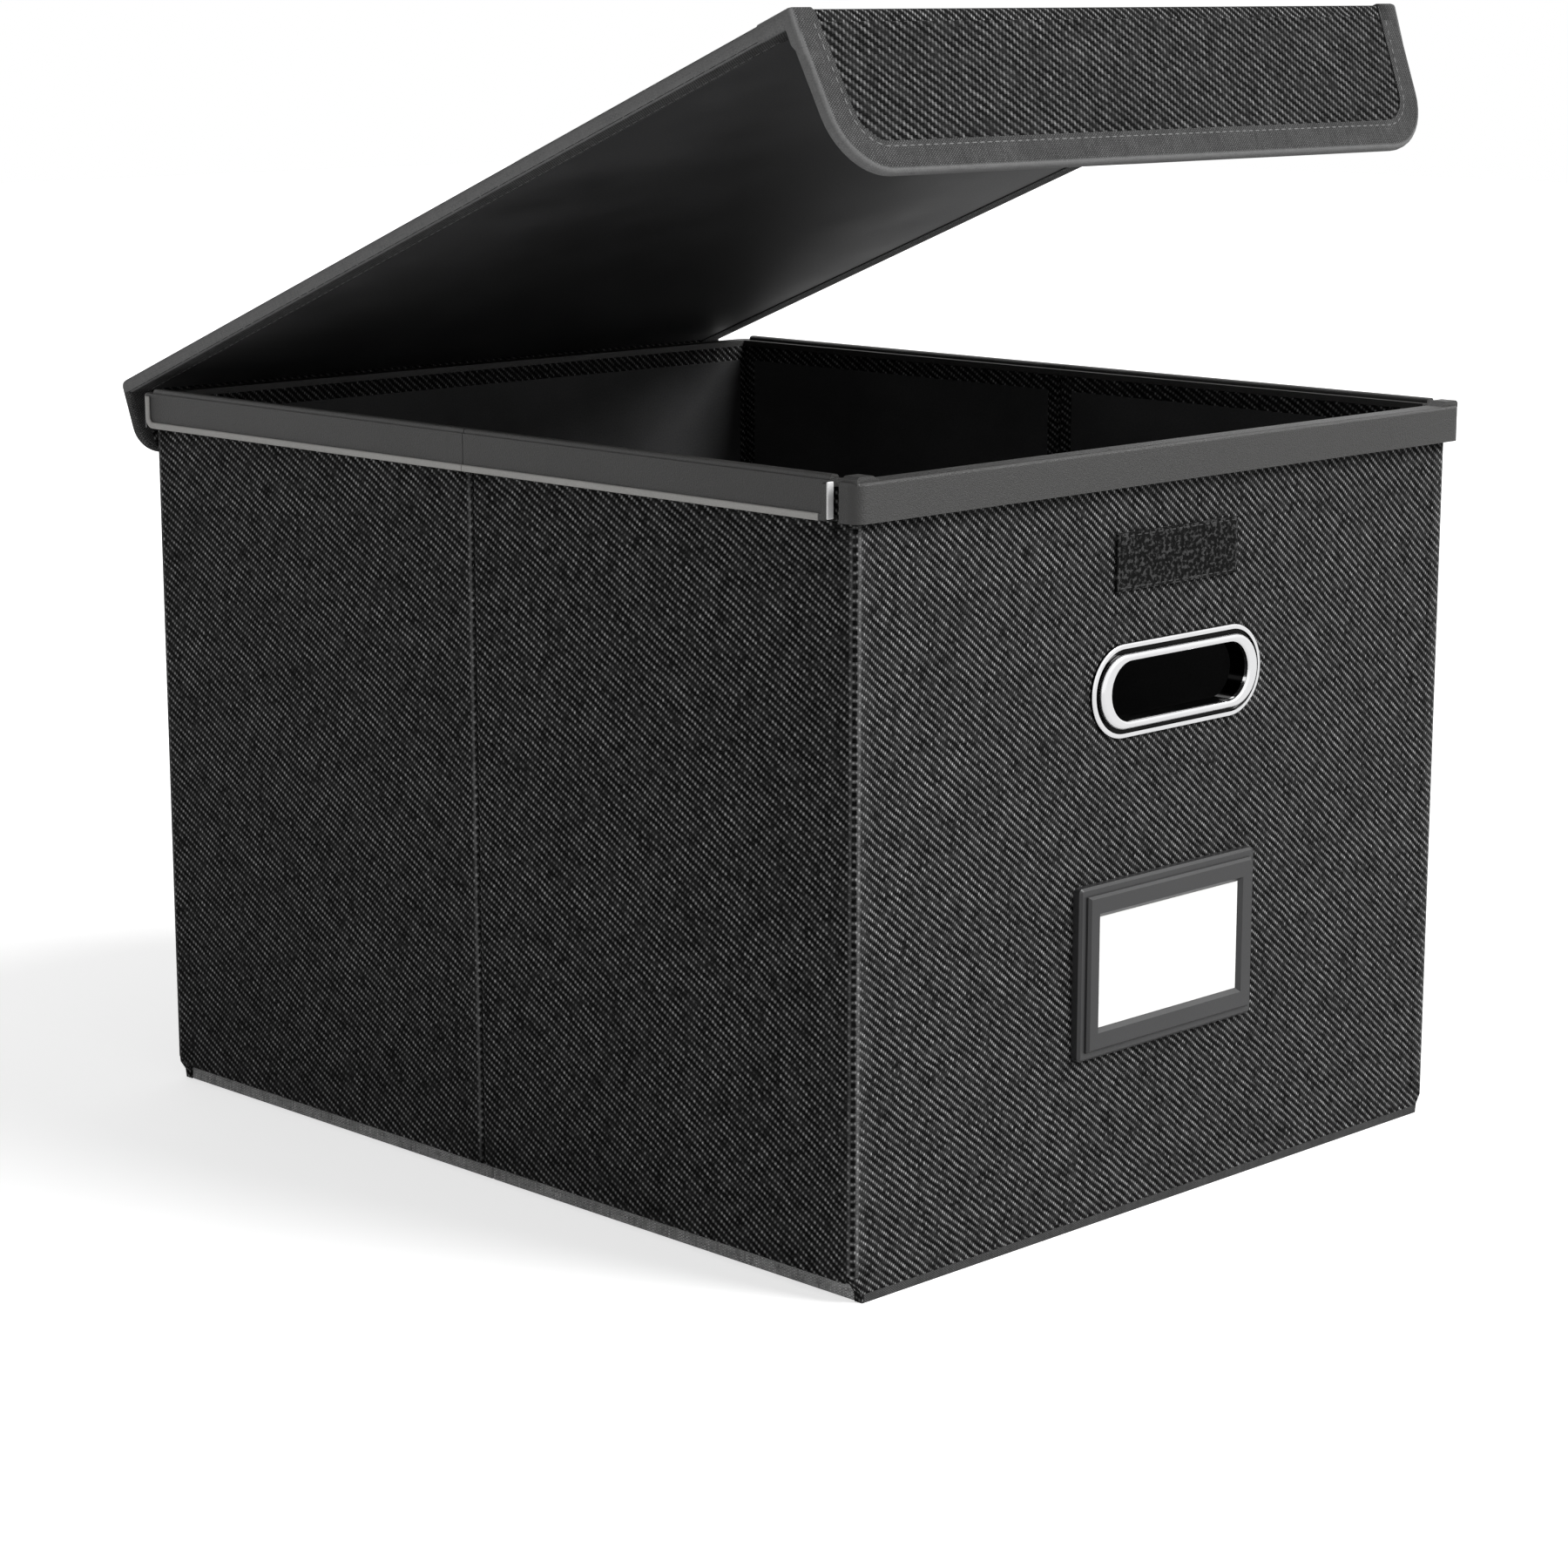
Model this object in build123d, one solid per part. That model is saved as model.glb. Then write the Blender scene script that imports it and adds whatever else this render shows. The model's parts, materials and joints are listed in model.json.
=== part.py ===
from build123d import *
import math
import os

os.makedirs("parts", exist_ok=True)

# A folding file box: board panels covered in linen cloth, plastic file rails round the
# mouth, and a bound lid whose front flap hangs over the front wall.
# Millimetres. The box stands on z = 0, the front wall faces -Y and the lid is part open.

# Shell
BOX_W = 310.0
BOX_D = 368.0
WALL_T = 3.5
SKIN_T = 0.5
LINING_T = 0.4
CORNER_R = 2.4
PANEL_HEM = 6.0
NOTCH_UP = 8.8
NOTCH_BEND = 3.4
NOTCH_IN = 3.6
JOINT_GAP = 0.3
CREASE_GAP = 0.3

# Floor, in two halves that fold at the middle
FLOOR_T = 6.0
FLOOR_INSET = 4.0
FLOOR_SKIN_T = 0.6
SIDE_FOOT_Z = 7.0
FLOOR_BIND_T = 0.2

# Plastic rails round the mouth
RAIL_FOOT_Z = 255.5
RAIL_TOP_Z = 268.5
RAIL_PROUD = 4.0
RAIL_SKIN = 2.0
RAIL_LIP = 1.8
RAIL_FLANGE = 2.3
RAIL_CORNER_R = 4.5
RAIL_RETURN = 3.9
RAIL_START = 8.3
RIB_H = 1.7
RIB_W = 4.0
RIB_SHIFT = 0.6
RIB_R = 1.4
ROLL_R = 1.2
HUMP_W = 12.0
HUMP_FLAT = 7.0
HUMP_R = 1.0
BEAD_PROUD = 0.8
BEAD_W = 2.4
BEAD_R = 4.0
BEAD_FRONT_R = 1.2
BEAD_INNER_R = 2.0
BEAD_ROUND = 0.6

# Lid, drawn shut and then turned open about its cloth hinge
LID_LENGTH = 386.2
LID_T = 4.5
LID_FOOT_Z = 271.1
LID_REAR = 8.4
LID_EDGE_R = 2.2
LID_REST_DEG = 21.4
HINGE_OUT = 1.5
HINGE_Z = 239.0
SKIRT_T = 3.5
SKIRT_FOOT_Z = 247.5
SKIRT_CORNER_R = 10.0
TAPE_T = 0.8
TAPE_FOOT_Z = 214.0
TAPE_W = 300.0
LEAF_GAP = 0.4
LEAF_HEM = 2.0

# Front flap
FLAP_LENGTH = 54.0
FLAP_T = 3.8
FLAP_TAPER = 5.5
FLAP_CORNER_R = 22.0
FLAP_REST_DEG = 2.4
MITRE_GAP = 0.45

# Cloth binding on the free edges
BIND_T = 0.5
BIND_W = 10.0

# Hand holes
HOLE_X = 2.5
HOLE_Z = 185.8
THROAT_L = 73.0
THROAT_H = 20.5
THROAT_R = 1.0
FLANGE_L = 90.0
FLANGE_H = 32.5
FLANGE_T = 1.3
FLANGE_R = 0.7
RING_T = 2.9
RING_IN = 3.3
RING_R = 1.3
TUBE_T = 1.8
TUBE_FIT = 0.15
WASHER_L = 87.0
WASHER_H = 30.5
WASHER_T = 1.6
WASHER_R = 0.8
GROOVE_IN = 1.7
GROOVE_DEEP = 0.9
CRIMP_T = 0.6
CRIMP_W = 1.4

# Label holder
LABEL_X = -2.6
LABEL_Z = 91.0
LABEL_W = 93.5
LABEL_H = 60.5
LABEL_T = 5.0
LABEL_STEP_T = 3.4
LABEL_STEP = 3.0
LABEL_CORNER_R = 1.6
LABEL_BEVEL = 0.9
WINDOW_BEVEL = 1.4
WINDOW_W = 74.5
WINDOW_H = 39.0
POCKET_MARGIN = 4.5
CARD_T = 0.5
CARD_PLAY = 0.5

# Hook and loop patches
PATCH_X = 1.0
PATCH_W = 64.0
PATCH_H = 19.5
PATCH_R = 1.5
LOOP_Z = 229.8
LOOP_T = 1.2
HOOK_Z = 235.8
HOOK_T = 1.7

# Places worked out from the sizes. The origin is under the middle of the whole box.
HALF_W = BOX_W / 2
WALL_TOP_Z = RAIL_TOP_Z - RAIL_FLANGE
LID_TOP_Z = LID_FOOT_Z + LID_T
lid_turn = math.radians(LID_REST_DEG)
corner_round = LID_EDGE_R + BIND_T
corner_back = LID_REAR - LID_EDGE_R - HINGE_OUT
corner_up = LID_TOP_Z - LID_EDGE_R - HINGE_Z
REAR_REACH = (HINGE_OUT + corner_back * math.cos(lid_turn) + corner_up * math.sin(lid_turn)
              + corner_round)
Y_FRONT = -(BOX_D + REAR_REACH - LABEL_T) / 2
Y_BACK = Y_FRONT + BOX_D
Y_CREASE = (Y_FRONT + Y_BACK) / 2
Y_HINGE = Y_BACK + HINGE_OUT
LID_BACK_Y = Y_BACK + LID_REAR
LID_FRONT_Y = LID_BACK_Y - LID_LENGTH


def save(shape, name):
    export_step(shape, f"parts/{name}.step")


def block(x0, x1, y0, y1, z0, z1):
    middle = Pos((x0 + x1) / 2, (y0 + y1) / 2, (z0 + z1) / 2)
    return middle * Box(x1 - x0, y1 - y0, z1 - z0)


def upright(sketch, y_front, y_back):
    """Stand a sketch drawn in X and Z up as a slab between two Y values."""
    plane = Plane.XZ.offset(-y_back)
    return extrude(plane * sketch, amount=y_back - y_front)


def stadium(length, height, y_front, y_back):
    """A long hole's plug, centred on the hand hole, in a wall's own frame."""
    return upright(Pos(HOLE_X, HOLE_Z) * SlotOverall(length, height), y_front, y_back)


def outer_edges(shape, y):
    """The edges that lie flat in the plane of one Y value."""
    found = [e for e in shape.edges() if abs(e.bounding_box().min.Y - y) < 1e-4]
    return [e for e in found if abs(e.bounding_box().max.Y - y) < 1e-4]


# Wall panels. A wall's own frame has its outer face on y = 0 and its inside towards +Y.
def wall_layers(x0, x1, foot_z, corner_r=0.0, hand_hole=False, foot_notch=False):
    """Board, the linen turned round its edges, and the lining laid inside."""
    whole = block(x0, x1, 0, WALL_T, foot_z, WALL_TOP_Z)
    board = block(x0 + SKIN_T, x1 - SKIN_T, SKIN_T, WALL_T - LINING_T,
                  foot_z + SKIN_T, WALL_TOP_Z - SKIN_T)
    lining = block(x0 + PANEL_HEM, x1 - PANEL_HEM, WALL_T - LINING_T, WALL_T,
                   foot_z + PANEL_HEM, WALL_TOP_Z - PANEL_HEM)
    if corner_r:
        upright_edges = whole.edges().filter_by(Axis.Z).group_by(Axis.Y)[0]
        whole = fillet(upright_edges, corner_r)
        board_edges = board.edges().filter_by(Axis.Z).group_by(Axis.Y)[0]
        board = fillet(board_edges, corner_r - SKIN_T)
    if foot_notch:
        whole = whole - foot_cuts(x1, 0.0)
        board = board - foot_cuts(x1, SKIN_T)
    if hand_hole:
        hole = stadium(THROAT_L + 2 * TUBE_T + TUBE_FIT, THROAT_H + 2 * TUBE_T + TUBE_FIT,
                       -1, WALL_T + 1)
        whole = whole - hole
        board = board - hole
        lining = lining - hole
    cover = whole - board - lining
    return board, cover, lining


def foot_cuts(half, inset):
    """The slanted cut at each bottom corner, where the narrower floor shows."""
    wide = FLOOR_INSET + inset
    shallow = NOTCH_IN + inset
    tall = NOTCH_UP + inset
    bend = NOTCH_BEND + inset
    cuts = []
    for side in (-1, 1):
        outline = Polyline((side * (half + 1), -1), (side * (half - wide), -1),
                           (side * (half - wide), inset), (side * (half - shallow), bend),
                           (side * half, tall), (side * (half + 1), tall), close=True)
        cuts.append(upright(make_face(outline), -1, WALL_T + 1))
    return cuts


def rim_loop(shape, y, height):
    """The four edges of one long hole or flange of this height, in the plane of one Y."""
    loop = []
    for edge in outer_edges(shape, y):
        box = edge.bounding_box()
        reach_z = max(abs(box.min.Z - HOLE_Z), abs(box.max.Z - HOLE_Z))
        if abs(reach_z - height / 2) < 1e-3:
            loop.append(edge)
    return loop


def grommet_parts():
    """The hand hole ring: a thin outer lip, a groove and a raised inner ring, then a tube
    that goes through the wall and is crimped over a washer."""
    tube_end = WALL_T + WASHER_T
    tube_l = THROAT_L + 2 * TUBE_T
    tube_h = THROAT_H + 2 * TUBE_T
    throat = stadium(THROAT_L, THROAT_H, -RING_T - 1, tube_end + CRIMP_T + 1)
    flange = stadium(FLANGE_L, FLANGE_H, -FLANGE_T, 0)
    flange = fillet(rim_loop(flange, -FLANGE_T, FLANGE_H), FLANGE_R)
    groove = stadium(FLANGE_L - 2 * GROOVE_IN, FLANGE_H - 2 * GROOVE_IN,
                     -FLANGE_T, -FLANGE_T + GROOVE_DEEP)
    ring_h = FLANGE_H - 2 * RING_IN
    raised = stadium(FLANGE_L - 2 * RING_IN, ring_h, -RING_T, 0) - throat
    raised = fillet(rim_loop(raised, -RING_T, ring_h), RING_R)
    raised = fillet(rim_loop(raised, -RING_T, THROAT_H), THROAT_R)
    tube = stadium(tube_l, tube_h, 0, tube_end)
    crimp = stadium(tube_l + 2 * CRIMP_W, tube_h + 2 * CRIMP_W, tube_end, tube_end + CRIMP_T)
    ring = (flange - groove - throat) + raised + (tube + crimp - throat)
    washer = (stadium(WASHER_L, WASHER_H, WALL_T, tube_end)
              - stadium(tube_l + TUBE_FIT, tube_h + TUBE_FIT, WALL_T - 1, tube_end + 1))
    washer = fillet(rim_loop(washer, tube_end, WASHER_H), WASHER_R)
    return ring, washer


def on_front(shape):
    return Pos(0, Y_FRONT, 0) * shape


def on_back(shape):
    return Pos(0, Y_BACK, 0) * (Rot(0, 0, 180) * shape)


# Front and back walls, with their hand holes
for name, place in (("front", on_front), ("back", on_back)):
    board, cover, lining = wall_layers(-HALF_W, HALF_W, 0, CORNER_R, True, True)
    grommet, washer = grommet_parts()
    save(place(board), f"{name}_board")
    save(place(cover), f"{name}_cover")
    save(place(lining), f"{name}_lining")
    save(place(grommet), f"{name}_grommet")
    save(place(washer), f"{name}_grommet_washer")


# Side walls, each in two halves that meet at the crease. A half's own frame has the crease
# at x = 0 and the corner of the box at x = HALF_LEN.
HALF_LEN = BOX_D / 2 - WALL_T - JOINT_GAP


def side_rail(end, corner_r):
    """Moulded file rail: skirt, lip, flange, hanging rib and a bead that turns up the end."""
    start = CREASE_GAP / 2
    inner_end = min(HALF_LEN, end)
    skirt_end = block(start, end, -RAIL_PROUD, -RAIL_PROUD + RAIL_SKIN,
                      RAIL_FOOT_Z, RAIL_TOP_Z)
    lip = block(start, end, -RAIL_PROUD, -JOINT_GAP, RAIL_FOOT_Z, RAIL_FOOT_Z + RAIL_LIP)
    seat = block(start, inner_end, -JOINT_GAP, 0, RAIL_FOOT_Z, RAIL_FOOT_Z + RAIL_LIP)
    flange = block(start, inner_end, -RAIL_PROUD, WALL_T, WALL_TOP_Z, RAIL_TOP_Z)
    tail = block(start, end, -RAIL_PROUD, -JOINT_GAP, WALL_TOP_Z, RAIL_TOP_Z)
    rib_mid = -RAIL_PROUD / 2 + RIB_SHIFT
    rib = block(start, inner_end, rib_mid - RIB_W / 2, rib_mid + RIB_W / 2,
                RAIL_TOP_Z, RAIL_TOP_Z + RIB_H)
    rib = fillet(rib.edges().filter_by(Axis.X).group_by(Axis.Z)[-1], RIB_R)
    rail = skirt_end + lip + seat + flange + tail + rib
    outline = block(start, end - corner_r, -RAIL_PROUD - 1, WALL_T + 1, 0, RAIL_TOP_Z + 5)
    outline = outline + block(end - corner_r, end, -RAIL_PROUD - 1, WALL_T + 1,
                              RAIL_FOOT_Z + corner_r, RAIL_TOP_Z + 5)
    turn = Pos(end - corner_r, RAIL_FOOT_Z + corner_r) * Circle(corner_r)
    rail = rail & (outline + upright(turn, -RAIL_PROUD - 1, WALL_T + 1))
    return rail + rail_bead(start, end, corner_r)


def rail_bead(start, end, corner_r):
    """The raised bead: along the foot of the skirt, round the corner and up the end."""
    outer = Polyline((start, RAIL_TOP_Z - 1), (start, RAIL_FOOT_Z), (end, RAIL_FOOT_Z),
                     (end, RAIL_TOP_Z - 1), close=True)
    inner = Polyline((start - 1, RAIL_TOP_Z), (start - 1, RAIL_FOOT_Z + BEAD_W),
                     (end - BEAD_W, RAIL_FOOT_Z + BEAD_W), (end - BEAD_W, RAIL_TOP_Z),
                     close=True)
    outer_face = make_face(outer)
    inner_face = make_face(inner)
    inner_r = min(corner_r, BEAD_INNER_R)
    outer_face = fillet(outer_face.vertices().group_by(Axis.X)[-1].sort_by(Axis.Y)[0:1], corner_r)
    inner_face = fillet(inner_face.vertices().group_by(Axis.X)[-1].sort_by(Axis.Y)[0:1], inner_r)
    proud_y = -RAIL_PROUD - BEAD_PROUD
    bead = upright(outer_face - inner_face, proud_y, -RAIL_PROUD)
    rounded = [e for e in outer_edges(bead, proud_y) if e.center().X > start + 1e-3]
    return fillet(rounded, BEAD_ROUND)


def on_side(shape, side, toward):
    """Put a half on the left (-1) or right (1) wall, running to the front or the back."""
    if toward == "front":
        turned = Rot(0, 0, -90) * shape if side < 0 else mirror(Rot(0, 0, -90) * shape, Plane.YZ)
    else:
        turned = mirror(Rot(0, 0, -90) * shape, Plane.XZ)
        if side > 0:
            turned = mirror(turned, Plane.YZ)
    return Pos(side * HALF_W, Y_CREASE, 0) * turned


for side, side_name in ((-1, "left"), (1, "right")):
    for toward in ("front", "rear"):
        board, cover, lining = wall_layers(CREASE_GAP / 2, HALF_LEN, SIDE_FOOT_Z)
        if toward == "front":
            rail = side_rail(BOX_D / 2 - RAIL_START, BEAD_FRONT_R)
        else:
            rail = side_rail(BOX_D / 2, BEAD_R)
        name = f"{side_name}_{toward}"
        save(on_side(board, side, toward), f"{name}_board")
        save(on_side(cover, side, toward), f"{name}_cover")
        save(on_side(lining, side, toward), f"{name}_lining")
        save(on_side(rail, side, toward), f"{name}_rail")


# Front and back rails, cut from one rounded ring round the mouth
def mouth_ring(out, inn, z0, z1):
    """A band round the mouth between two offsets from the outer faces of the walls."""
    plate = RectangleRounded(BOX_W + 2 * out, BOX_D + 2 * out, RAIL_CORNER_R)
    inside = Rectangle(BOX_W + 2 * inn, BOX_D + 2 * inn)
    if inn > 1:
        inside = RectangleRounded(BOX_W + 2 * inn, BOX_D + 2 * inn, RAIL_CORNER_R - out + inn)
    band = extrude(plate - inside, amount=z1 - z0)
    return Pos(0, Y_CREASE, z0) * band


def end_rail():
    """The whole ring, with the roll along its top outer edge."""
    skirt = mouth_ring(RAIL_PROUD, RAIL_PROUD - RAIL_SKIN, RAIL_FOOT_Z, RAIL_TOP_Z)
    lip = mouth_ring(RAIL_PROUD, 0, RAIL_FOOT_Z, RAIL_FOOT_Z + RAIL_LIP)
    flange = mouth_ring(RAIL_PROUD, -WALL_T, WALL_TOP_Z, RAIL_TOP_Z)
    ring = skirt + lip + flange
    past_wall = RAIL_PROUD / 2
    top = [e for e in ring.edges() if e.center().Z > RAIL_TOP_Z - 1e-3
           and (abs(e.center().X) > HALF_W + past_wall
                or abs(e.center().Y - Y_CREASE) > BOX_D / 2 + past_wall)]
    return fillet(top, ROLL_R)


def corner_hump(side):
    """The small raised end on top of the front rail, in line with the hanging rib."""
    x_out = HALF_W + RAIL_PROUD - ROLL_R
    foot = RAIL_TOP_Z - RIB_H / 2
    outline = Polyline((side * x_out, foot), (side * x_out, RAIL_TOP_Z + RIB_H / 2),
                       (side * (x_out - HUMP_R), RAIL_TOP_Z + RIB_H),
                       (side * (x_out - HUMP_FLAT), RAIL_TOP_Z + RIB_H),
                       (side * (x_out - HUMP_W), foot), close=True)
    hump = upright(make_face(outline), Y_FRONT - RAIL_PROUD + ROLL_R, Y_FRONT + WALL_T)
    return fillet(hump.edges().filter_by(Axis.Y).group_by(Axis.Z)[-1], HUMP_R)


mouth = end_rail()
reach = HALF_W + RAIL_PROUD + 5
front_rail = mouth & block(-reach, reach, Y_FRONT - 20, Y_FRONT + RAIL_RETURN, 200, 300)
front_rail = front_rail - block(-HALF_W - JOINT_GAP, HALF_W + JOINT_GAP,
                                Y_FRONT + WALL_T, Y_FRONT + 20, 200, 300)
front_rail = front_rail + corner_hump(-1) + corner_hump(1)
save(front_rail, "front_rail")
back_rail = mouth & block(-reach, reach, Y_BACK - WALL_T, Y_BACK + 20, 200, 300)
for side in (-1, 1):
    inner = side * HALF_W
    outer = side * reach
    back_rail = back_rail - block(min(inner, outer), max(inner, outer),
                                  Y_BACK - WALL_T - 1, Y_BACK + JOINT_GAP, 200, 300)
save(back_rail, "back_rail")


# Floor halves. The binding on the side edges is the band that shows under the side walls.
def floor_half(y0, y1):
    half = HALF_W - FLOOR_INSET
    band = half - BIND_W
    board = block(-half + FLOOR_SKIN_T, half - FLOOR_SKIN_T, y0, y1,
                  FLOOR_SKIN_T, FLOOR_T - LINING_T)
    underside = block(-band, band, y0, y1, 0, FLOOR_SKIN_T)
    lining = block(-band, band, y0, y1, FLOOR_T - LINING_T, FLOOR_T)
    binding = []
    for side in (-1, 1):
        x0, x1 = sorted((side * band, side * half))
        strip = block(x0, x1, y0, y1, 0, FLOOR_T + FLOOR_BIND_T)
        binding.append(strip - board)
    return board, underside, lining, binding[0] + binding[1]


for toward, y0, y1 in (("front", Y_FRONT + WALL_T + JOINT_GAP, Y_CREASE - CREASE_GAP / 2),
                       ("rear", Y_CREASE + CREASE_GAP / 2, Y_BACK - WALL_T - JOINT_GAP)):
    board, underside, lining, binding = floor_half(y0, y1)
    save(board, f"floor_{toward}_board")
    save(underside, f"floor_{toward}_cover")
    save(lining, f"floor_{toward}_lining")
    save(binding, f"floor_{toward}_binding")


# Label holder and its blank card, on the front wall
def plate(width, height, y_front, y_back):
    return upright(Pos(LABEL_X, LABEL_Z) * Rectangle(width, height), y_front, y_back)


base = plate(LABEL_W, LABEL_H, -LABEL_STEP_T, 0)
base = fillet(base.edges().filter_by(Axis.Y), LABEL_CORNER_R)
base = chamfer(outer_edges(base, -LABEL_STEP_T), LABEL_BEVEL)
raised = plate(LABEL_W - 2 * LABEL_STEP, LABEL_H - 2 * LABEL_STEP, -LABEL_T, -LABEL_STEP_T)
raised = chamfer(outer_edges(raised, -LABEL_T), LABEL_BEVEL)
frame = base + raised
frame = frame - plate(WINDOW_W, WINDOW_H, -LABEL_T - 1, 1)
frame = chamfer([e for e in outer_edges(frame, -LABEL_T)
                 if e.bounding_box().size.X < WINDOW_W + 0.01
                 and e.bounding_box().size.Z < WINDOW_H + 0.01], WINDOW_BEVEL)
pocket_w = WINDOW_W + 2 * POCKET_MARGIN
pocket_h = WINDOW_H + 2 * POCKET_MARGIN
frame = frame - plate(pocket_w, pocket_h, -2 * CARD_T, 0)
card = plate(pocket_w - 2 * CARD_PLAY, pocket_h - 2 * CARD_PLAY, -2 * CARD_T, -CARD_T)
save(on_front(frame), "label_frame")
save(on_front(card), "label_card")

# Loop patch on the front wall
loop = upright(Pos(PATCH_X, LOOP_Z) * Rectangle(PATCH_W, PATCH_H), -LOOP_T, 0)
loop = fillet(loop.edges().filter_by(Axis.Y), PATCH_R)
save(on_front(loop), "loop_patch")


# Lid, drawn shut
def open_lid(shape):
    return shape.rotate(Axis((0, Y_HINGE, HINGE_Z), (-1, 0, 0)), LID_REST_DEG)


def open_flap(shape):
    turned = shape.rotate(Axis((0, LID_FRONT_Y, LID_TOP_Z), (-1, 0, 0)), FLAP_REST_DEG)
    return open_lid(turned)


def mitre(way):
    """What trims the lid (way -1) or the flap (way 1) to a mitre along their crease."""
    size = BOX_W + 50
    slab = Box(size, size, size)
    slab = Pos(0, 0, way * (size / 2 - MITRE_GAP / math.sqrt(2))) * slab
    return Pos(0, LID_FRONT_Y, LID_TOP_Z) * (Rot(-45, 0, 0) * slab)


lid_whole = block(-HALF_W, HALF_W, LID_FRONT_Y - 1, LID_BACK_Y, LID_FOOT_Z, LID_TOP_Z)
rear_edge = lid_whole.edges().filter_by(Axis.X).group_by(Axis.Z)[-1].sort_by(Axis.Y)[-1]
lid_whole = fillet(rear_edge, LID_EDGE_R)
lid_board = block(-HALF_W + SKIN_T, HALF_W - SKIN_T, LID_FRONT_Y - 1, LID_BACK_Y - SKIN_T,
                  LID_FOOT_Z + SKIN_T, LID_TOP_Z - SKIN_T)
board_edge = lid_board.edges().filter_by(Axis.X).group_by(Axis.Z)[-1].sort_by(Axis.Y)[-1]
lid_board = fillet(board_edge, LID_EDGE_R - SKIN_T)
lid_lining = block(-HALF_W + SKIN_T, HALF_W - SKIN_T, LID_FRONT_Y - 1, LID_BACK_Y - SKIRT_T,
                   LID_FOOT_Z, LID_FOOT_Z + SKIN_T)
lid_cover = lid_whole - lid_board - lid_lining

skirt_outline = Pos(0, (LID_FOOT_Z + SKIRT_FOOT_Z) / 2) * Rectangle(
    BOX_W, LID_FOOT_Z - SKIRT_FOOT_Z)
skirt_outline = fillet(skirt_outline.vertices().group_by(Axis.Y)[0], SKIRT_CORNER_R)
skirt_whole = upright(skirt_outline, LID_BACK_Y - SKIRT_T, LID_BACK_Y)
skirt_board = upright(offset(skirt_outline, -SKIN_T), LID_BACK_Y - SKIRT_T + SKIN_T,
                      LID_BACK_Y - SKIN_T)
skirt_cover = skirt_whole - skirt_board


# Binding: a folded tape over a free edge, BIND_W wide on both faces
def lid_edge_binding():
    strips = []
    for side in (-1, 1):
        x0, x1 = sorted((side * (HALF_W + BIND_T), side * (HALF_W - BIND_W)))
        tape = block(x0, x1, LID_FRONT_Y - 1, LID_BACK_Y + BIND_T,
                     LID_FOOT_Z - BIND_T, LID_TOP_Z + BIND_T)
        edge = tape.edges().filter_by(Axis.X).group_by(Axis.Z)[-1].sort_by(Axis.Y)[-1]
        tape = fillet(edge, LID_EDGE_R + BIND_T)
        tape = tape - block(x0 - 1, x1 + 1, LID_BACK_Y - SKIRT_T - BIND_T, LID_BACK_Y + 5,
                            LID_FOOT_Z - 5, LID_FOOT_Z)
        strips.append(tape - lid_whole - mitre(-1))
    return strips[0] + strips[1]


def u_binding(outline, whole, y_front, y_back, top_z):
    """Binding round a hanging tab: down one side, across the foot and up the other."""
    outer = offset(outline, BIND_T)
    inner = offset(outline, -BIND_W)
    inner = inner + Pos(0, top_z) * Rectangle(BOX_W - 2 * BIND_W - 2 * FLAP_TAPER, 2 * BIND_W)
    tape = upright(outer, y_front - BIND_T, y_back + BIND_T)
    window = upright(inner, y_front - 1, y_back + 1)
    above = block(-BOX_W, BOX_W, y_front - 5, y_back + 5, top_z, top_z + 50)
    return tape - window - whole - above


skirt_binding = u_binding(skirt_outline, skirt_whole, LID_BACK_Y - SKIRT_T, LID_BACK_Y,
                          LID_FOOT_Z)
save(open_lid(lid_board - mitre(-1)), "lid_board")
save(open_lid(lid_cover - mitre(-1)), "lid_cover")
save(open_lid(lid_lining - mitre(-1)), "lid_lining")
save(open_lid(lid_edge_binding()), "lid_binding")
save(open_lid(skirt_board), "skirt_board")
save(open_lid(skirt_cover), "skirt_cover")
save(open_lid(skirt_binding), "skirt_binding")

# Cloth hinge: the lower leaf is sewn to the back wall, the upper one inside the skirt
lower_leaf = block(-TAPE_W / 2, TAPE_W / 2, Y_BACK, Y_BACK + TAPE_T,
                   TAPE_FOOT_Z, HINGE_Z - LEAF_GAP)
leaf_y0 = Y_HINGE - TAPE_T / 2
skirt_in = LID_BACK_Y - SKIRT_T
leaf_top = RAIL_FOOT_Z - LEAF_HEM / 2
upper_leaf = block(-TAPE_W / 2, TAPE_W / 2, leaf_y0, leaf_y0 + TAPE_T,
                   HINGE_Z + LEAF_GAP, leaf_top)
hem = block(-TAPE_W / 2, TAPE_W / 2, leaf_y0, skirt_in, SKIRT_FOOT_Z + LEAF_HEM, leaf_top)
save(lower_leaf, "hinge_lower_leaf")
save(open_lid(upper_leaf + hem - skirt_binding), "hinge_upper_leaf")

# Front flap, drawn hanging square from the shut lid
flap_foot = LID_TOP_Z - FLAP_LENGTH
flap_outline = make_face(Polyline((-HALF_W, LID_TOP_Z), (-HALF_W + FLAP_TAPER, flap_foot),
                                  (HALF_W - FLAP_TAPER, flap_foot), (HALF_W, LID_TOP_Z),
                                  close=True))
flap_outline = fillet(flap_outline.vertices().group_by(Axis.Y)[0], FLAP_CORNER_R)
flap_y1 = LID_FRONT_Y + FLAP_T
flap_whole = upright(flap_outline, LID_FRONT_Y, flap_y1)
flap_inset = offset(flap_outline, -SKIN_T)
flap_board = upright(flap_inset, LID_FRONT_Y + SKIN_T, flap_y1 - SKIN_T)
flap_board = flap_board + block(-HALF_W + 3 * SKIN_T, HALF_W - 3 * SKIN_T,
                                LID_FRONT_Y + SKIN_T, flap_y1 - SKIN_T,
                                LID_TOP_Z - 4 * SKIN_T, LID_TOP_Z)
flap_lining = upright(flap_inset, flap_y1 - SKIN_T, flap_y1)
flap_cover = flap_whole - flap_board - flap_lining
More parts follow.
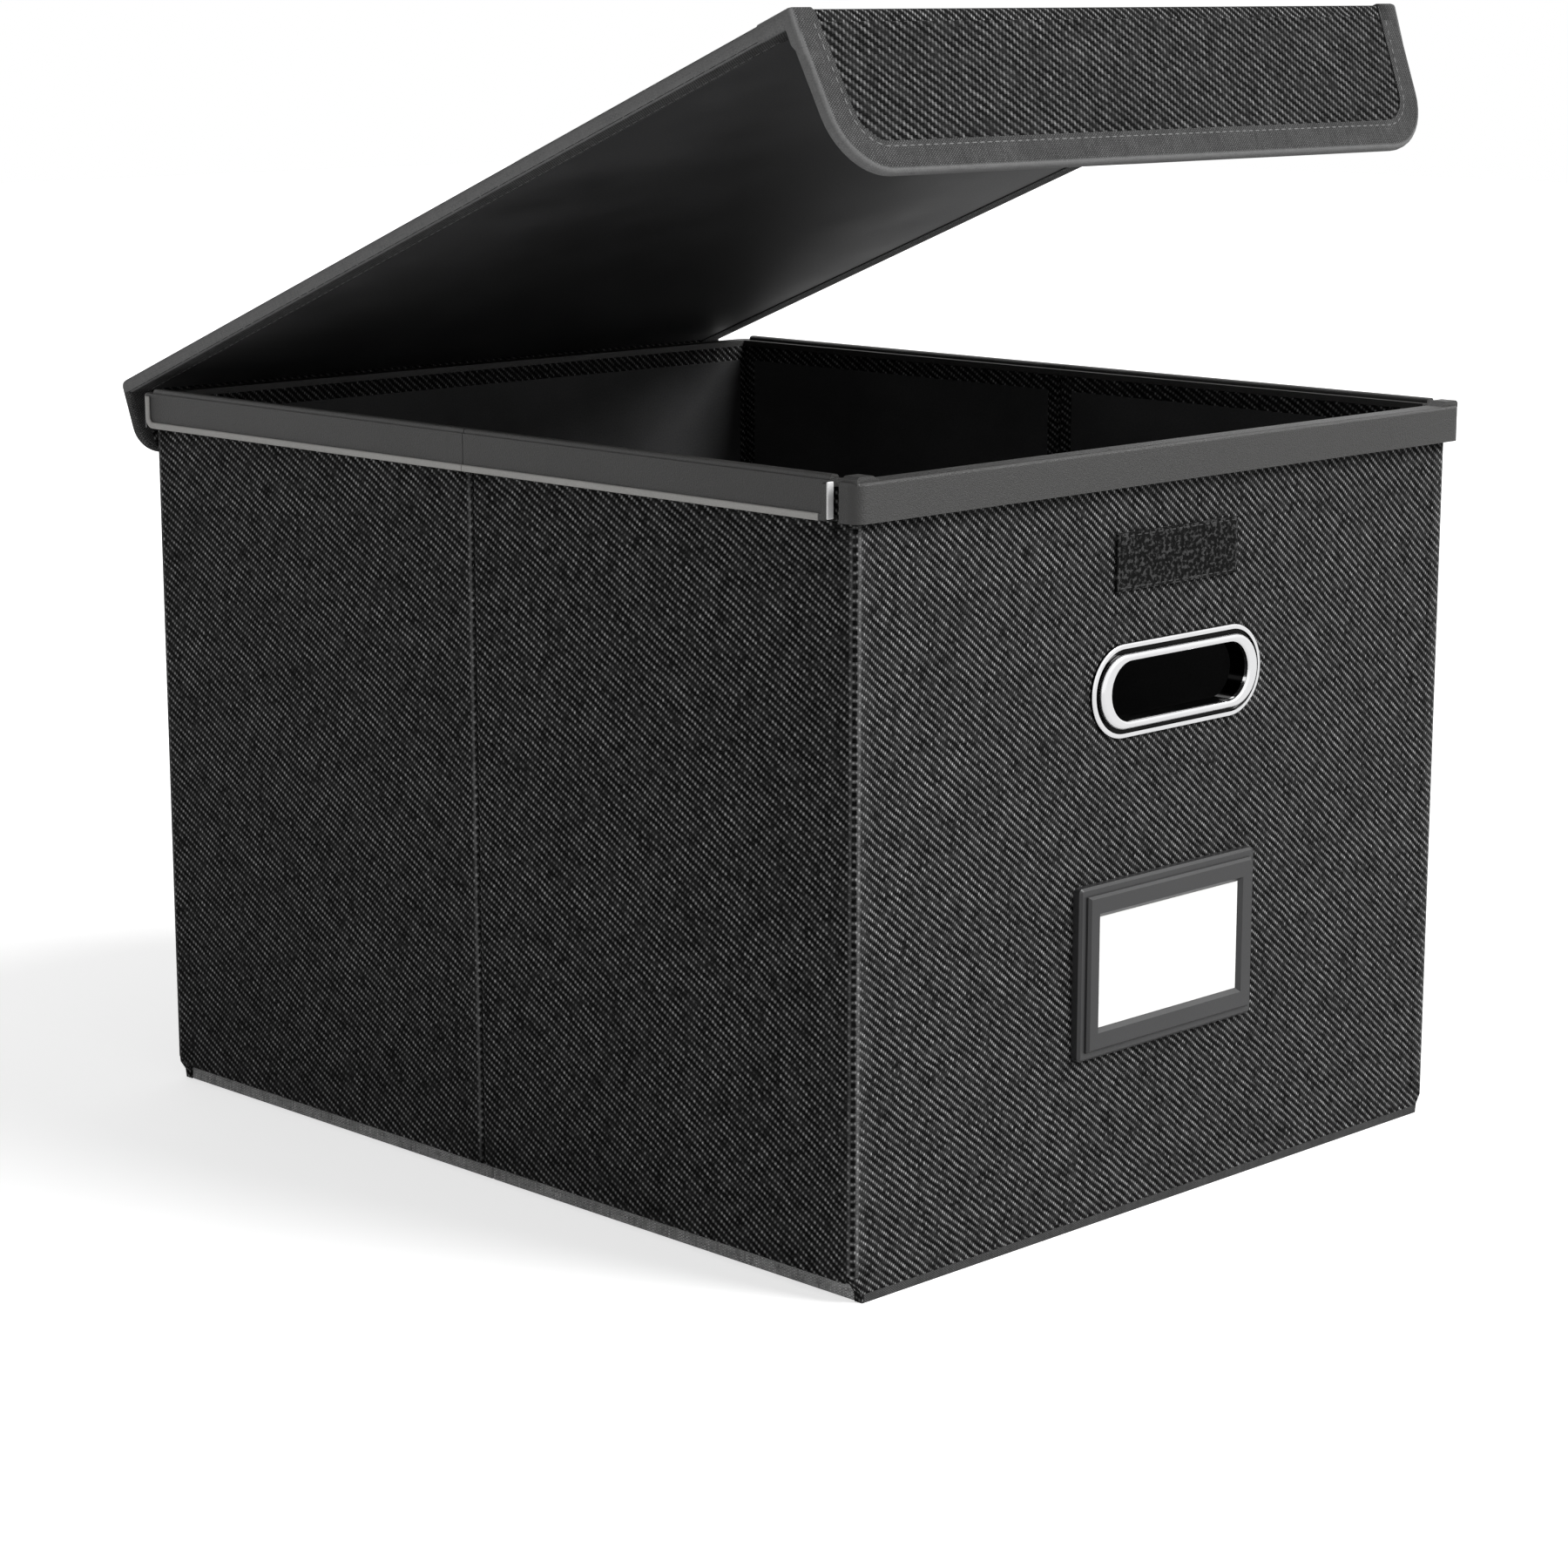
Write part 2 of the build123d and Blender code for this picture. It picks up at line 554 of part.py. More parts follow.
flap_binding = u_binding(flap_outline, flap_whole, LID_FRONT_Y, flap_y1,
                         LID_TOP_Z - JOINT_GAP)
hook = upright(Pos(PATCH_X, HOOK_Z) * Rectangle(PATCH_W, PATCH_H), flap_y1, flap_y1 + HOOK_T)
hook = fillet(hook.edges().filter_by(Axis.Y), PATCH_R) - flap_binding
save(open_flap(flap_board - mitre(1)), "flap_board")
save(open_flap(flap_cover - mitre(1)), "flap_cover")
save(open_flap(flap_lining - mitre(1)), "flap_lining")
save(open_flap(flap_binding - mitre(1)), "flap_binding")
save(open_flap(hook), "hook_patch")
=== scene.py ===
import json
import math
import random

import bmesh
import bpy
from mathutils import Matrix, Vector


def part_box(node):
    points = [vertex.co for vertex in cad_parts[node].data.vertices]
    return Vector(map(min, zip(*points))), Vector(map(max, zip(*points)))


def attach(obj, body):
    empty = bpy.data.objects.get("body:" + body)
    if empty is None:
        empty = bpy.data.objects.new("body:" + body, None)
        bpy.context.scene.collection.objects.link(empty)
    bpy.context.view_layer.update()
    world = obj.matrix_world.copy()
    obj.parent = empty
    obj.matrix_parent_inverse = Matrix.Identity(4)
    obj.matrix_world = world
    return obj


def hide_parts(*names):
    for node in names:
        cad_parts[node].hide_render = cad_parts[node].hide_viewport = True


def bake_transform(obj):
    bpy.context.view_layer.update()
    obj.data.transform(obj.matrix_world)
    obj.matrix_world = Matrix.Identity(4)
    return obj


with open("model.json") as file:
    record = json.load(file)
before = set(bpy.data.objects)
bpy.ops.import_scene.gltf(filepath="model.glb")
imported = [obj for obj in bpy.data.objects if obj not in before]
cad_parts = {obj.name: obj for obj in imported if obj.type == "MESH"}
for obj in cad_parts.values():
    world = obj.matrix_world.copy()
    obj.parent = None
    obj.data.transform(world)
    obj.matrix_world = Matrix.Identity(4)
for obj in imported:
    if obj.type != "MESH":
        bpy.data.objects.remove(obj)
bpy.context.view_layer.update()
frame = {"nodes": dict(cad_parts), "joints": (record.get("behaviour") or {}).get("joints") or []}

# Studio: a white sweep under an even grey sky, with one large soft lamp off to the front right.
# The box is taken from in front of its left front corner, a little above the rim.
PHOTO_SIDE = 1800
FOCAL_PX = 4340.2
CAMERA_AT = Vector((-0.9907, -1.0005, 0.4188))
CAMERA_YAW = math.radians(44.84)
CAMERA_DOWN = math.radians(11.94)
FLOOR_HALF = 6.0
FLOOR_GLOW = 0.62
SKY_GREY = 0.32
KEY_STRENGTH = 3.2
KEY_SOFTNESS = math.radians(30)
KEY_HEIGHT = math.radians(40)
KEY_HEADING = math.radians(30)


def new_material(name, roughness=0.6):
    material = bpy.data.materials.new(name)
    material.use_nodes = True
    shader = material.node_tree.nodes["Principled BSDF"]
    shader.inputs["Roughness"].default_value = roughness
    return material, material.node_tree, shader


def put(tree, kind, inputs, out=0, **settings):
    """Adds a node, sets or links its inputs and gives back one of its outputs."""
    made = tree.nodes.new(kind)
    for name, value in settings.items():
        setattr(made, name, value)
    for key, value in inputs.items():
        if isinstance(value, bpy.types.NodeSocket):
            tree.links.new(value, made.inputs[key])
        else:
            made.inputs[key].default_value = value
    return made.outputs[out]


def calc(tree, operation, a, b=0.0, c=0.0):
    return put(tree, "ShaderNodeMath", {0: a, 1: b, 2: c}, operation=operation)


def link_object(name, data):
    made = bpy.data.objects.new(name, data)
    bpy.context.scene.collection.objects.link(made)
    return made


bpy.context.scene.view_settings.view_transform = "Standard"
camera = link_object("camera", bpy.data.cameras.new("camera"))
camera.data.sensor_width = 36.0
camera.data.lens = 36.0 * FOCAL_PX / PHOTO_SIDE
camera.data.clip_end = 40
camera.location = CAMERA_AT
camera.rotation_euler = (math.radians(90) - CAMERA_DOWN, 0, -CAMERA_YAW)
bpy.context.scene.camera = camera

bm = bmesh.new()
bmesh.ops.create_grid(bm, x_segments=1, y_segments=1, size=FLOOR_HALF)
floor = link_object("studio_floor", bpy.data.meshes.new("studio_floor"))
bm.to_mesh(floor.data)
bm.free()
material, tree, shader = new_material("pale_floor", 0.9)
shader.inputs["Base Color"].default_value = (0.8, 0.8, 0.8, 1)
seen = put(tree, "ShaderNodeLightPath", {}, out="Is Camera Ray")
shader.inputs["Emission Color"].default_value = (1, 1, 1, 1)
tree.links.new(calc(tree, "MULTIPLY", seen, FLOOR_GLOW), shader.inputs["Emission Strength"])
floor.data.materials.append(material)

world = bpy.data.worlds.new("studio")
world.use_nodes = True
tree = world.node_tree
path = tree.nodes.new("ShaderNodeLightPath")
clear = calc(tree, "MAXIMUM", path.outputs["Is Camera Ray"],
             calc(tree, "MAXIMUM", path.outputs["Is Glossy Ray"],
                  path.outputs["Is Transmission Ray"]))
tree.links.new(calc(tree, "MULTIPLY_ADD", clear, 1 - SKY_GREY, SKY_GREY),
               tree.nodes["Background"].inputs["Strength"])
tree.nodes["Background"].inputs["Color"].default_value = (1, 1, 1, 1)
bpy.context.scene.world = world

lamp = link_object("key_lamp", bpy.data.lights.new("key_lamp", "SUN"))
lamp.data.energy = KEY_STRENGTH
lamp.data.angle = KEY_SOFTNESS
lamp.rotation_euler = (math.radians(90) - KEY_HEIGHT, 0, KEY_HEADING)


# Front and back walls: greyboard panels in charcoal linen-look cloth. The cloth is drawn over
# the board, turned round its edges and glued down inside, and a hand hole is punched through.
WALL_LOW, WALL_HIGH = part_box("front_cover")
HALF_WIDE = WALL_HIGH.x
WALL_THICK = WALL_HIGH.y - WALL_LOW.y
FRONT_Y = WALL_LOW.y
BACK_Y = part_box("back_cover")[1].y
CREASE_Y = (FRONT_Y + BACK_Y) / 2
CORNER_ROUND = 0.0024
CLOTH_ROUND = 0.0008
NOTCH = ((0.0040, 0.0), (0.0036, 0.0034), (0.0, 0.0088))
HOLE_AT = Vector((0.0025, 0.0, 0.1858))
HOLE_LONG, HOLE_HIGH = 0.0767, 0.0242
SMOOTH_UNDER = math.radians(40)
YARN = 0.0009
CLOSER_WEFT = 1.25
FULLED = 0.35
LINEN_WARP = (0.325, 0.325, 0.325, 1)
LINEN_WEFT = (0.003, 0.003, 0.003, 1)
SIDE_STRETCH = 0.7
EVEN_LIGHT = 0.18


def noise(tree, place, scale, detail, out=0):
    return put(tree, "ShaderNodeTexNoise", {"Vector": place, "Scale": scale, "Detail": detail}, out)


def remap(tree, value, low, high, to_low=0.0, to_high=1.0):
    return put(tree, "ShaderNodeMapRange", {0: value, 1: low, 2: high, 3: to_low, 4: to_high})


def scaled(tree, vector, by):
    return put(tree, "ShaderNodeVectorMath", {0: vector, "Scale": by}, operation="SCALE")


def blended(tree, share, first, second):
    """A colour that goes from the first to the second as the share goes from 0 to 1."""
    return put(tree, "ShaderNodeMix", {0: share, 6: first, 7: second}, out=2, data_type="RGBA")


def dress_shader(tree, shader, colour, height=None, strength=0.0, depth=0.0):
    """Links the colour, and the relief where the finish has one."""
    tree.links.new(colour, shader.inputs["Base Color"])
    if height is not None:
        bump = put(tree, "ShaderNodeBump",
                   {"Height": height, "Strength": strength, "Distance": depth})
        tree.links.new(bump, shader.inputs["Normal"])


def woven(name, yarn, repeat, raised, warp, weft, gap, slub, relief, roughness):
    """A cloth of crossed yarns: the warp lies on top in `raised` cells of every `repeat`."""
    material, tree, shader = new_material(name, roughness)
    shader.inputs["Specular IOR Level"].default_value = 0.08
    cloth = put(tree, "ShaderNodeUVMap", {}, uv_map="cloth")
    drift = noise(tree, cloth, 0.12 / yarn, 1.5, "Color")
    drift = put(tree, "ShaderNodeVectorMath", {0: drift, 1: (0.5, 0.5, 0.5)}, operation="SUBTRACT")
    drift = scaled(tree, drift, 1.1 * yarn)
    cloth = put(tree, "ShaderNodeVectorMath", {0: cloth, 1: drift}, operation="ADD")
    cloth = put(tree, "ShaderNodeVectorMath", {0: cloth, 1: (1 / yarn, CLOSER_WEFT / yarn, 1)},
                operation="MULTIPLY")
    across = put(tree, "ShaderNodeSeparateXYZ", {0: cloth})
    up = put(tree, "ShaderNodeSeparateXYZ", {0: cloth}, out=1)
    column, row = calc(tree, "FLOOR", across), calc(tree, "FLOOR", up)
    in_column, in_row = calc(tree, "FRACT", across), calc(tree, "FRACT", up)
    step = calc(tree, "FLOORED_MODULO", calc(tree, "ADD", column, row), float(repeat))
    warp_up = calc(tree, "LESS_THAN", step, float(raised))

    # Each yarn is round across its width and arches from where it dips to where it dips again.
    beside = put(tree, "ShaderNodeMix", {0: warp_up, 2: in_row, 3: in_column})
    along_warp = calc(tree, "DIVIDE", calc(tree, "ADD", step, in_row), float(raised))
    past_warp = calc(tree, "SUBTRACT", calc(tree, "ADD", step, in_column), float(raised))
    along_weft = calc(tree, "DIVIDE", past_warp, float(repeat - raised))
    along = put(tree, "ShaderNodeMix", {0: warp_up, 2: along_weft, 3: along_warp})
    width = calc(tree, "SINE", calc(tree, "MULTIPLY", beside, math.pi))
    arch = calc(tree, "SINE", calc(tree, "MULTIPLY", along, math.pi))
    arch = calc(tree, "MULTIPLY_ADD", calc(tree, "MULTIPLY", arch, arch), 0.85, 0.15)
    height = calc(tree, "MULTIPLY", width, arch)

    # Slubs: each yarn keeps a tone of its own for a while, over a slower change in the whole cloth.
    warp_at = put(tree, "ShaderNodeCombineXYZ",
                  {0: calc(tree, "MULTIPLY", column, 3.71), 1: calc(tree, "MULTIPLY", up, 0.11)})
    weft_at = put(tree, "ShaderNodeCombineXYZ",
                  {0: calc(tree, "MULTIPLY", across, 0.11), 1: calc(tree, "MULTIPLY", row, 3.71)})
    yarn_at = put(tree, "ShaderNodeMix", {0: warp_up, 4: weft_at, 5: warp_at}, out=1,
                  data_type="VECTOR")
    tone = remap(tree, noise(tree, yarn_at, 1.0, 2.0), 0.3, 0.7, 1 - slub, 1 + slub)
    clouds = remap(tree, noise(tree, cloth, 0.035, 3.0), 0.3, 0.7, 0.86, 1.14)
    lit = calc(tree, "MULTIPLY_ADD", calc(tree, "MULTIPLY", height, height), 1 - gap, gap)
    shade = calc(tree, "MULTIPLY", lit, calc(tree, "MULTIPLY", tone, clouds))
    colour = scaled(tree, blended(tree, warp_up, weft, warp), shade)

    # Fulling hides the yarns in places. The vertex attribute read here paints light: above 0 it
    # pales the cloth as a painted highlight, and below 0 it darkens it as painted shade.
    blur = remap(tree, noise(tree, cloth, 0.16, 2.0), 0.42, 0.72, 0.0, FULLED)
    plain = scaled(tree, blended(tree, 0.5, weft, warp), gap + EVEN_LIGHT * (1 - gap))
    colour = blended(tree, blur, colour, plain)
    light_paint = put(tree, "ShaderNodeAttribute", {}, out="Fac", attribute_name="painted_light")
    highlight_paint = calc(tree, "MULTIPLY", light_paint, calc(tree, "MULTIPLY_ADD", tone, 0.5, 0.5))
    colour = blended(tree, highlight_paint, colour, warp)
    colour = scaled(tree, colour, calc(tree, "ADD", 1.0, calc(tree, "MINIMUM", light_paint, 0.0)))
    smooth = calc(tree, "SUBTRACT", 1.0, calc(tree, "ABSOLUTE", light_paint))
    relief = calc(tree, "MULTIPLY", calc(tree, "MAXIMUM", smooth, 0.0), relief)
    dress_shader(tree, shader, colour, height, 0.6, relief)
    return material


def lay_cloth(bm, coarser):
    """A map in metres, turned the same way on each face as it is seen from outside."""
    layer = bm.loops.layers.uv.new("cloth")
    bm.normal_update()
    for face in bm.faces:
        n = face.normal
        for loop in face.loops:
            x, y, z = loop.vert.co
            if abs(n.z) > max(abs(n.x), abs(n.y)):
                loop[layer].uv = (x, y if n.z > 0 else -y)
            elif abs(n.y) > abs(n.x):
                loop[layer].uv = (x if n.y < 0 else -x, z)
            else:
                loop[layer].uv = (SIDE_STRETCH * (y if n.x > 0 else -y), z)
            loop[layer].uv /= coarser


def piece(name, bm, material, slot, body=None, turn=None, replaces=(), coarser=1.0):
    """Makes the object, lays its cloth map and gives it its body and its material."""
    lay_cloth(bm, coarser)
    if turn is not None:
        bmesh.ops.transform(bm, matrix=turn, verts=bm.verts)
    made = link_object(name, bpy.data.meshes.new(name))
    bm.to_mesh(made.data)
    bm.free()
    made.data.shade_smooth()
    made.data.set_sharp_from_angle(angle=SMOOTH_UNDER)
    made.data.materials.append(material)
    smooth = made.modifiers.new("even_shading", "WEIGHTED_NORMAL")
    smooth.keep_sharp = True
    if replaces:
        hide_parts(*replaces)
    if body:
        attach(made, body)
    return made


def thicken(bm, depth):
    """Gives a flat sheet its thickness, towards +Y."""
    made = bmesh.ops.extrude_face_region(bm, geom=bm.faces[:])
    moved = [v for v in made["geom"] if isinstance(v, bmesh.types.BMVert)]
    bmesh.ops.translate(bm, verts=moved, vec=(0, depth, 0))
    bmesh.ops.recalc_face_normals(bm, faces=bm.faces[:])


def round_edges(bm, radius, segments=3, chosen=None):
    """Rounds the sharp edges of a solid, or those that `chosen` picks."""
    bm.normal_update()
    edges = [e for e in bm.edges if e.is_manifold and e.calc_face_angle() > 0.9]
    if chosen:
        edges = [e for e in edges if chosen(e)]
    bmesh.ops.bevel(bm, geom=edges, offset=radius, offset_type="OFFSET", segments=segments,
                    profile=0.5, affect="EDGES", material=-1, clamp_overlap=True)


def upright_edge(edge):
    a, b = edge.verts
    return abs(a.co.x - b.co.x) < 1e-6 and abs(a.co.y - b.co.y) < 1e-6


def ring(bm, points):
    """A closed run of edges through the points."""
    verts = [bm.verts.new(point) for point in points]
    return [bm.edges.new(pair) for pair in zip(verts, verts[1:] + verts[:1])]


def holed_panel(outline, segments=40):
    """A flat panel through points given as (across, up), with the hand hole left open."""
    bm = bmesh.new()
    ring(bm, [(x, 0, z) for x, z in outline])
    made = bmesh.ops.create_circle(bm, segments=segments, radius=HOLE_HIGH / 2,
                                   matrix=Matrix.Translation(HOLE_AT) @
                                   Matrix.Rotation(math.radians(90), 4, "X"))
    for v in made["verts"]:
        if abs(v.co.x - HOLE_AT.x) > 1e-6:
            v.co.x += math.copysign((HOLE_LONG - HOLE_HIGH) / 2, v.co.x - HOLE_AT.x)
    bmesh.ops.triangle_fill(bm, use_beauty=True, use_dissolve=False, edges=bm.edges[:])
    return bm


def off_hole(edge):
    """True for the edges round a panel, and not for those of its hand hole."""
    beside = edge.verts[0].co - HOLE_AT
    return abs(beside.x) > HOLE_LONG or abs(beside.z) > HOLE_HIGH


AT_FRONT = Matrix.Translation((0, FRONT_Y, 0))
AT_BACK = Matrix.Translation((0, BACK_Y, 0)) @ Matrix.Rotation(math.pi, 4, "Z")
linen = woven("charcoal_linen", YARN, 4, 2, LINEN_WARP, LINEN_WEFT, gap=0.12, slub=0.85,
              relief=0.0004, roughness=0.85)
right = [(HALF_WIDE - inward, up) for inward, up in NOTCH]
left = [(-x, z) for x, z in reversed(right)]
outline = left + right + [(HALF_WIDE, WALL_HIGH.z), (-HALF_WIDE, WALL_HIGH.z)]

for name, place in (("front", AT_FRONT), ("back", AT_BACK)):
    bm = holed_panel(outline)
    thicken(bm, WALL_THICK)
    round_edges(bm, CORNER_ROUND, 5, lambda e: upright_edge(e) and e.verts[0].co.y < 1e-5
                and abs(e.verts[0].co.x) > HALF_WIDE - 1e-4)
    round_edges(bm, CLOTH_ROUND, 3, off_hole)
    bmesh.ops.transform(bm, matrix=place, verts=bm.verts)
    piece(f"{name}_linen", bm, linen, "linen", name, replaces=[f"{name}_cover"])


# Side walls: two panels each, from the same board and cloth, that meet at the crease where the
# box folds. Their cloth hangs down to just above the floor, whose bound edge shows below.
FLOOR_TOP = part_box("floor_front_binding")[1].z
FOOT_PLAY = 0.00015
CREASE_ROUND = 0.0014


def solid(low, high):
    bm = bmesh.new()
    low, high = Vector(low), Vector(high)
    bmesh.ops.create_cube(bm, size=1)
    bmesh.ops.scale(bm, vec=high - low, verts=bm.verts)
    bmesh.ops.translate(bm, vec=(low + high) / 2, verts=bm.verts)
    return bm


for side_name in ("left", "right"):
    for end in ("front", "rear"):
        body = f"{side_name}_{end}"
        low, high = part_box(f"{body}_cover")
        low.z = FLOOR_TOP + FOOT_PLAY
        bm = solid(low, high)
        round_edges(bm, CREASE_ROUND, 4, lambda e: upright_edge(e)
                    and abs(e.verts[0].co.x) > HALF_WIDE - 1e-4
                    and abs(e.verts[0].co.y - CREASE_Y) < 0.001)
        round_edges(bm, CLOTH_ROUND, 3)
        piece(f"{body}_linen", bm, linen, "linen", body, replaces=[f"{body}_cover"])


# Lining: a smooth black sheet glued inside each panel over the turned edges of the linen.
# It is a pressed fibre cloth, thinner and slightly shinier than the linen.
LINING_PROUD = 0.00015
LINING_ROUND = 0.0002
LINING_COLOUR = (0.055, 0.055, 0.056)


def lining_material():
    material, tree, shader = new_material("black_lining", 0.6)
    shader.inputs["Specular IOR Level"].default_value = 0.2
    place = put(tree, "ShaderNodeUVMap", {}, uv_map="cloth")
    fibres = noise(tree, place, 1400.0, 3.0)
    clouds = noise(tree, place, 22.0, 3.0)
    tone = calc(tree, "MULTIPLY", remap(tree, clouds, 0.3, 0.7, 0.75, 1.3),
                calc(tree, "MULTIPLY_ADD", fibres, 0.7, 0.65))
    tree.links.new(calc(tree, "MULTIPLY_ADD", clouds, 0.25, 0.42), shader.inputs["Roughness"])
    dress_shader(tree, shader, scaled(tree, LINING_COLOUR, tone), fibres, 0.3, 0.0002)
    return material


def lining_sheet(low, high, proud):
    """A thin closed sheet in the box from low to high, raised by proud on its shown side."""
    low = Vector(low) + Vector([min(part, 0) for part in proud])
    high = Vector(high) + Vector([max(part, 0) for part in proud])
    bm = solid(low, high)
    round_edges(bm, LINING_ROUND, 2)
    return bm


lining = lining_material()
for side, side_name in ((-1, "left"), (1, "right")):
    for end in ("front", "rear"):
        body = f"{side_name}_{end}"
        bm = lining_sheet(*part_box(f"{body}_lining"), (-side * LINING_PROUD, 0, 0))
        piece(f"{body}_inside", bm, lining, "lining", body, replaces=[f"{body}_lining"])
for name, place in (("front", AT_FRONT), ("back", AT_BACK)):
    low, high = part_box(f"{name}_lining")
    bm = holed_panel([(low.x, low.z), (high.x, low.z), (high.x, high.z), (low.x, high.z)])
    bmesh.ops.translate(bm, vec=(0, WALL_THICK - (high.y - low.y), 0), verts=bm.verts)
    thicken(bm, high.y - low.y + LINING_PROUD)
    round_edges(bm, LINING_ROUND, 2, off_hole)
    bmesh.ops.transform(bm, matrix=place, verts=bm.verts)
    piece(f"{name}_inside", bm, lining, "lining", name, replaces=[f"{name}_lining"])


# Wrapped corners and creases: the linen runs on from panel to panel without a cut, so a strip of it
# bridges each fold. It lies a hair proud of the panels, and a second strip carries each crease on
# up behind the rail.
STRIP_THICK = 0.00035
STRIP_PROUD = 0.00018
STRIP_SUNK = 0.00012
STRIP_REACH = 0.009
STRIP_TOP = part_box("front_rail")[0].z - 0.0003
PANEL_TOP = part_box("left_front_cover")[1].z - 0.0004
PANEL_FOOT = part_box("left_front_cover")[0].z
FOOT_GAP = 0.0006
# Painted light round each wrapped corner, from the end wall to the side: a painted highlight on the
# rounding, a line of painted shade past its middle, and a faint painted highlight where it meets
# the side.
CORNER_PAINTED_LIGHT = (0.0, 0.0, 0.05, 0.25, 0.35, 0.2, -0.3, -0.3, 0.0, 0.2, 0.15)
# Each crease is drawn with painted shade along its groove and a painted highlight on the ridge just
# behind it.
CREASE_DEEP, CREASE_REACH, CREASE_BEND = 0.0009, 0.0009, 0.006
CREASE_LINE, CREASE_SHADE = 0.0006, 0.6
HIGHLIGHT_BESIDE, CREASE_HIGHLIGHT = 0.0015, 0.3
CREASE_STATIONS = (0.00025, 0.0005, 0.00075, 0.00105, 0.0014, 0.0018, 0.0023, 0.003, 0.004,
                   0.006, 0.008, STRIP_REACH)


def run_on(bm, run):
    """Extrudes a run of edges in place and gives back its new vertices and edges."""
    made = bmesh.ops.extrude_edge_only(bm, edges=run)
    verts = [v for v in made["geom"] if isinstance(v, bmesh.types.BMVert)]
    edges = [e for e in made["geom"] if isinstance(e, bmesh.types.BMEdge)
             and all(v in verts for v in e.verts)]
    return verts, edges


def drawn_strip(points, step, count, painted_light=()):
    """A sheet drawn out from a run of points, by the same step again and again."""
    bm = bmesh.new()
    light_paint = bm.verts.layers.float.new("painted_light") if painted_light else None
    verts = [bm.verts.new(point) for point in points]
    for vert, amount in zip(verts, painted_light):
        vert[light_paint] = amount
    run = [bm.edges.new(pair) for pair in zip(verts, verts[1:])]
    for _ in range(count):
        moved, run = run_on(bm, run)
        bmesh.ops.translate(bm, verts=moved, vec=step)
    return bm


def upright_strip(section, z0, z1, painted_light, rows=24):
    """A strip of cloth through plan points given as (x, y), standing from z0 to z1."""
    return drawn_strip([(x, y, z0) for x, y in section], (0, 0, (z1 - z0) / rows), rows, painted_light)


def corner_section():
    """Points (across, depth) round a right corner, from the end wall's face to the side wall."""
    points = [(HALF_WIDE - STRIP_REACH, STRIP_SUNK),
              (HALF_WIDE - STRIP_REACH + 0.002, -STRIP_PROUD)]
    reach = CORNER_ROUND + STRIP_PROUD
    for k in range(9):
        turn = math.radians(90) * k / 8
        points.append((HALF_WIDE - CORNER_ROUND + reach * math.sin(turn),
                       CORNER_ROUND - reach * math.cos(turn)))
    for depth in (0.0032, 0.0040, 0.0050, 0.0062, 0.0076, 0.0092):
        points.append((HALF_WIDE + STRIP_PROUD, depth))
    return points + [(HALF_WIDE - STRIP_SUNK, 0.0112)]


def crease_section(lift):
    """Points (outwards, beside) over a crease, and the painted light at each: painted shade in it,
    a painted highlight behind.
    """
    section, painted_light = [], []
    for offset in [-at for at in reversed(CREASE_STATIONS)] + [0.0] + list(CREASE_STATIONS):
        ease = min(1.0, (STRIP_REACH - abs(offset)) / 0.001)
        groove = math.exp(-(offset / CREASE_REACH) ** 2) * CREASE_DEEP
        section.append((-STRIP_SUNK + (STRIP_SUNK + lift) * ease - groove, offset))
        painted_light.append(CREASE_HIGHLIGHT * math.exp(-((offset - HIGHLIGHT_BESIDE) / CREASE_LINE) ** 2)
                    - CREASE_SHADE * math.exp(-(offset / CREASE_LINE) ** 2))
    return section, painted_light


def cloth_strip(name, bm, material, slot, outside, thick=STRIP_THICK, **kept):
    """Turns the strip's face outwards, lays its map and gives it its thickness inwards."""
    bmesh.ops.recalc_face_normals(bm, faces=bm.faces[:])
    if sum(face.normal.dot(Vector(outside)) * face.calc_area() for face in bm.faces) < 0:
        bmesh.ops.reverse_faces(bm, faces=bm.faces[:])
    made = piece(name, bm, material, slot, **kept)
    made.modifiers.clear()
    thickness = made.modifiers.new("thickness", "SOLIDIFY")
    thickness.thickness = thick
    thickness.offset = -1
    return made


for side, side_name in ((-1, "left"), (1, "right")):
    for end, y_face, inward in (("front", FRONT_Y, 1), ("rear", BACK_Y, -1)):
        section = [(side * x, y_face + inward * depth) for x, depth in corner_section()]
        bm = upright_strip(section, NOTCH[2][1] + FOOT_GAP, STRIP_TOP, CORNER_PAINTED_LIGHT)
        made = cloth_strip(f"{side_name}_{end}_corner_linen", bm, linen, "linen", (0, -inward, 0))
        if end == "rear":
            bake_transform(made)
        elif side_name == "left":
            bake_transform(made)
        else:
            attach(made, "front")
    for name, foot, top, lift in (("crease_linen", PANEL_FOOT + FOOT_GAP, STRIP_TOP, STRIP_PROUD),
                                  ("crease_hidden_linen", STRIP_TOP, PANEL_TOP, -STRIP_SUNK)):
        section, painted_light = crease_section(lift)
        section = [(side * (HALF_WIDE + out), CREASE_Y + beside) for out, beside in section]
        bm = upright_strip(section, foot, top, painted_light)
        made = cloth_strip(f"{side_name}_{name}", bm, linen, "linen", (side, 0, 0))
        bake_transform(made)


# File rails: black moulded polypropylene, clipped over the top edge of each wall. They keep the
# fine spark texture of the mould. The bead along the foot of the side rails is drawn pale as a
# painted highlight, and a thin pale plate at the cut end of each side rail stands in for the glint
# there, a painted highlight.
RAIL_GREY = (0.026, 0.0255, 0.0245)
SPARK_DEEP = 0.00012
BEAD_FROM, BEAD_EASE = HALF_WIDE + 0.00405, 0.0004
BEAD_HIGHLIGHT = 15.0
BEAD_START, START_EASE = FRONT_Y + 0.0120, 0.0006
END_HIGHLIGHT = (0.88, 0.88, 0.88)
END_WIDE, END_THICK, END_HIGH = 0.0028, 0.0008, 0.0118
END_LIFT = 0.0007


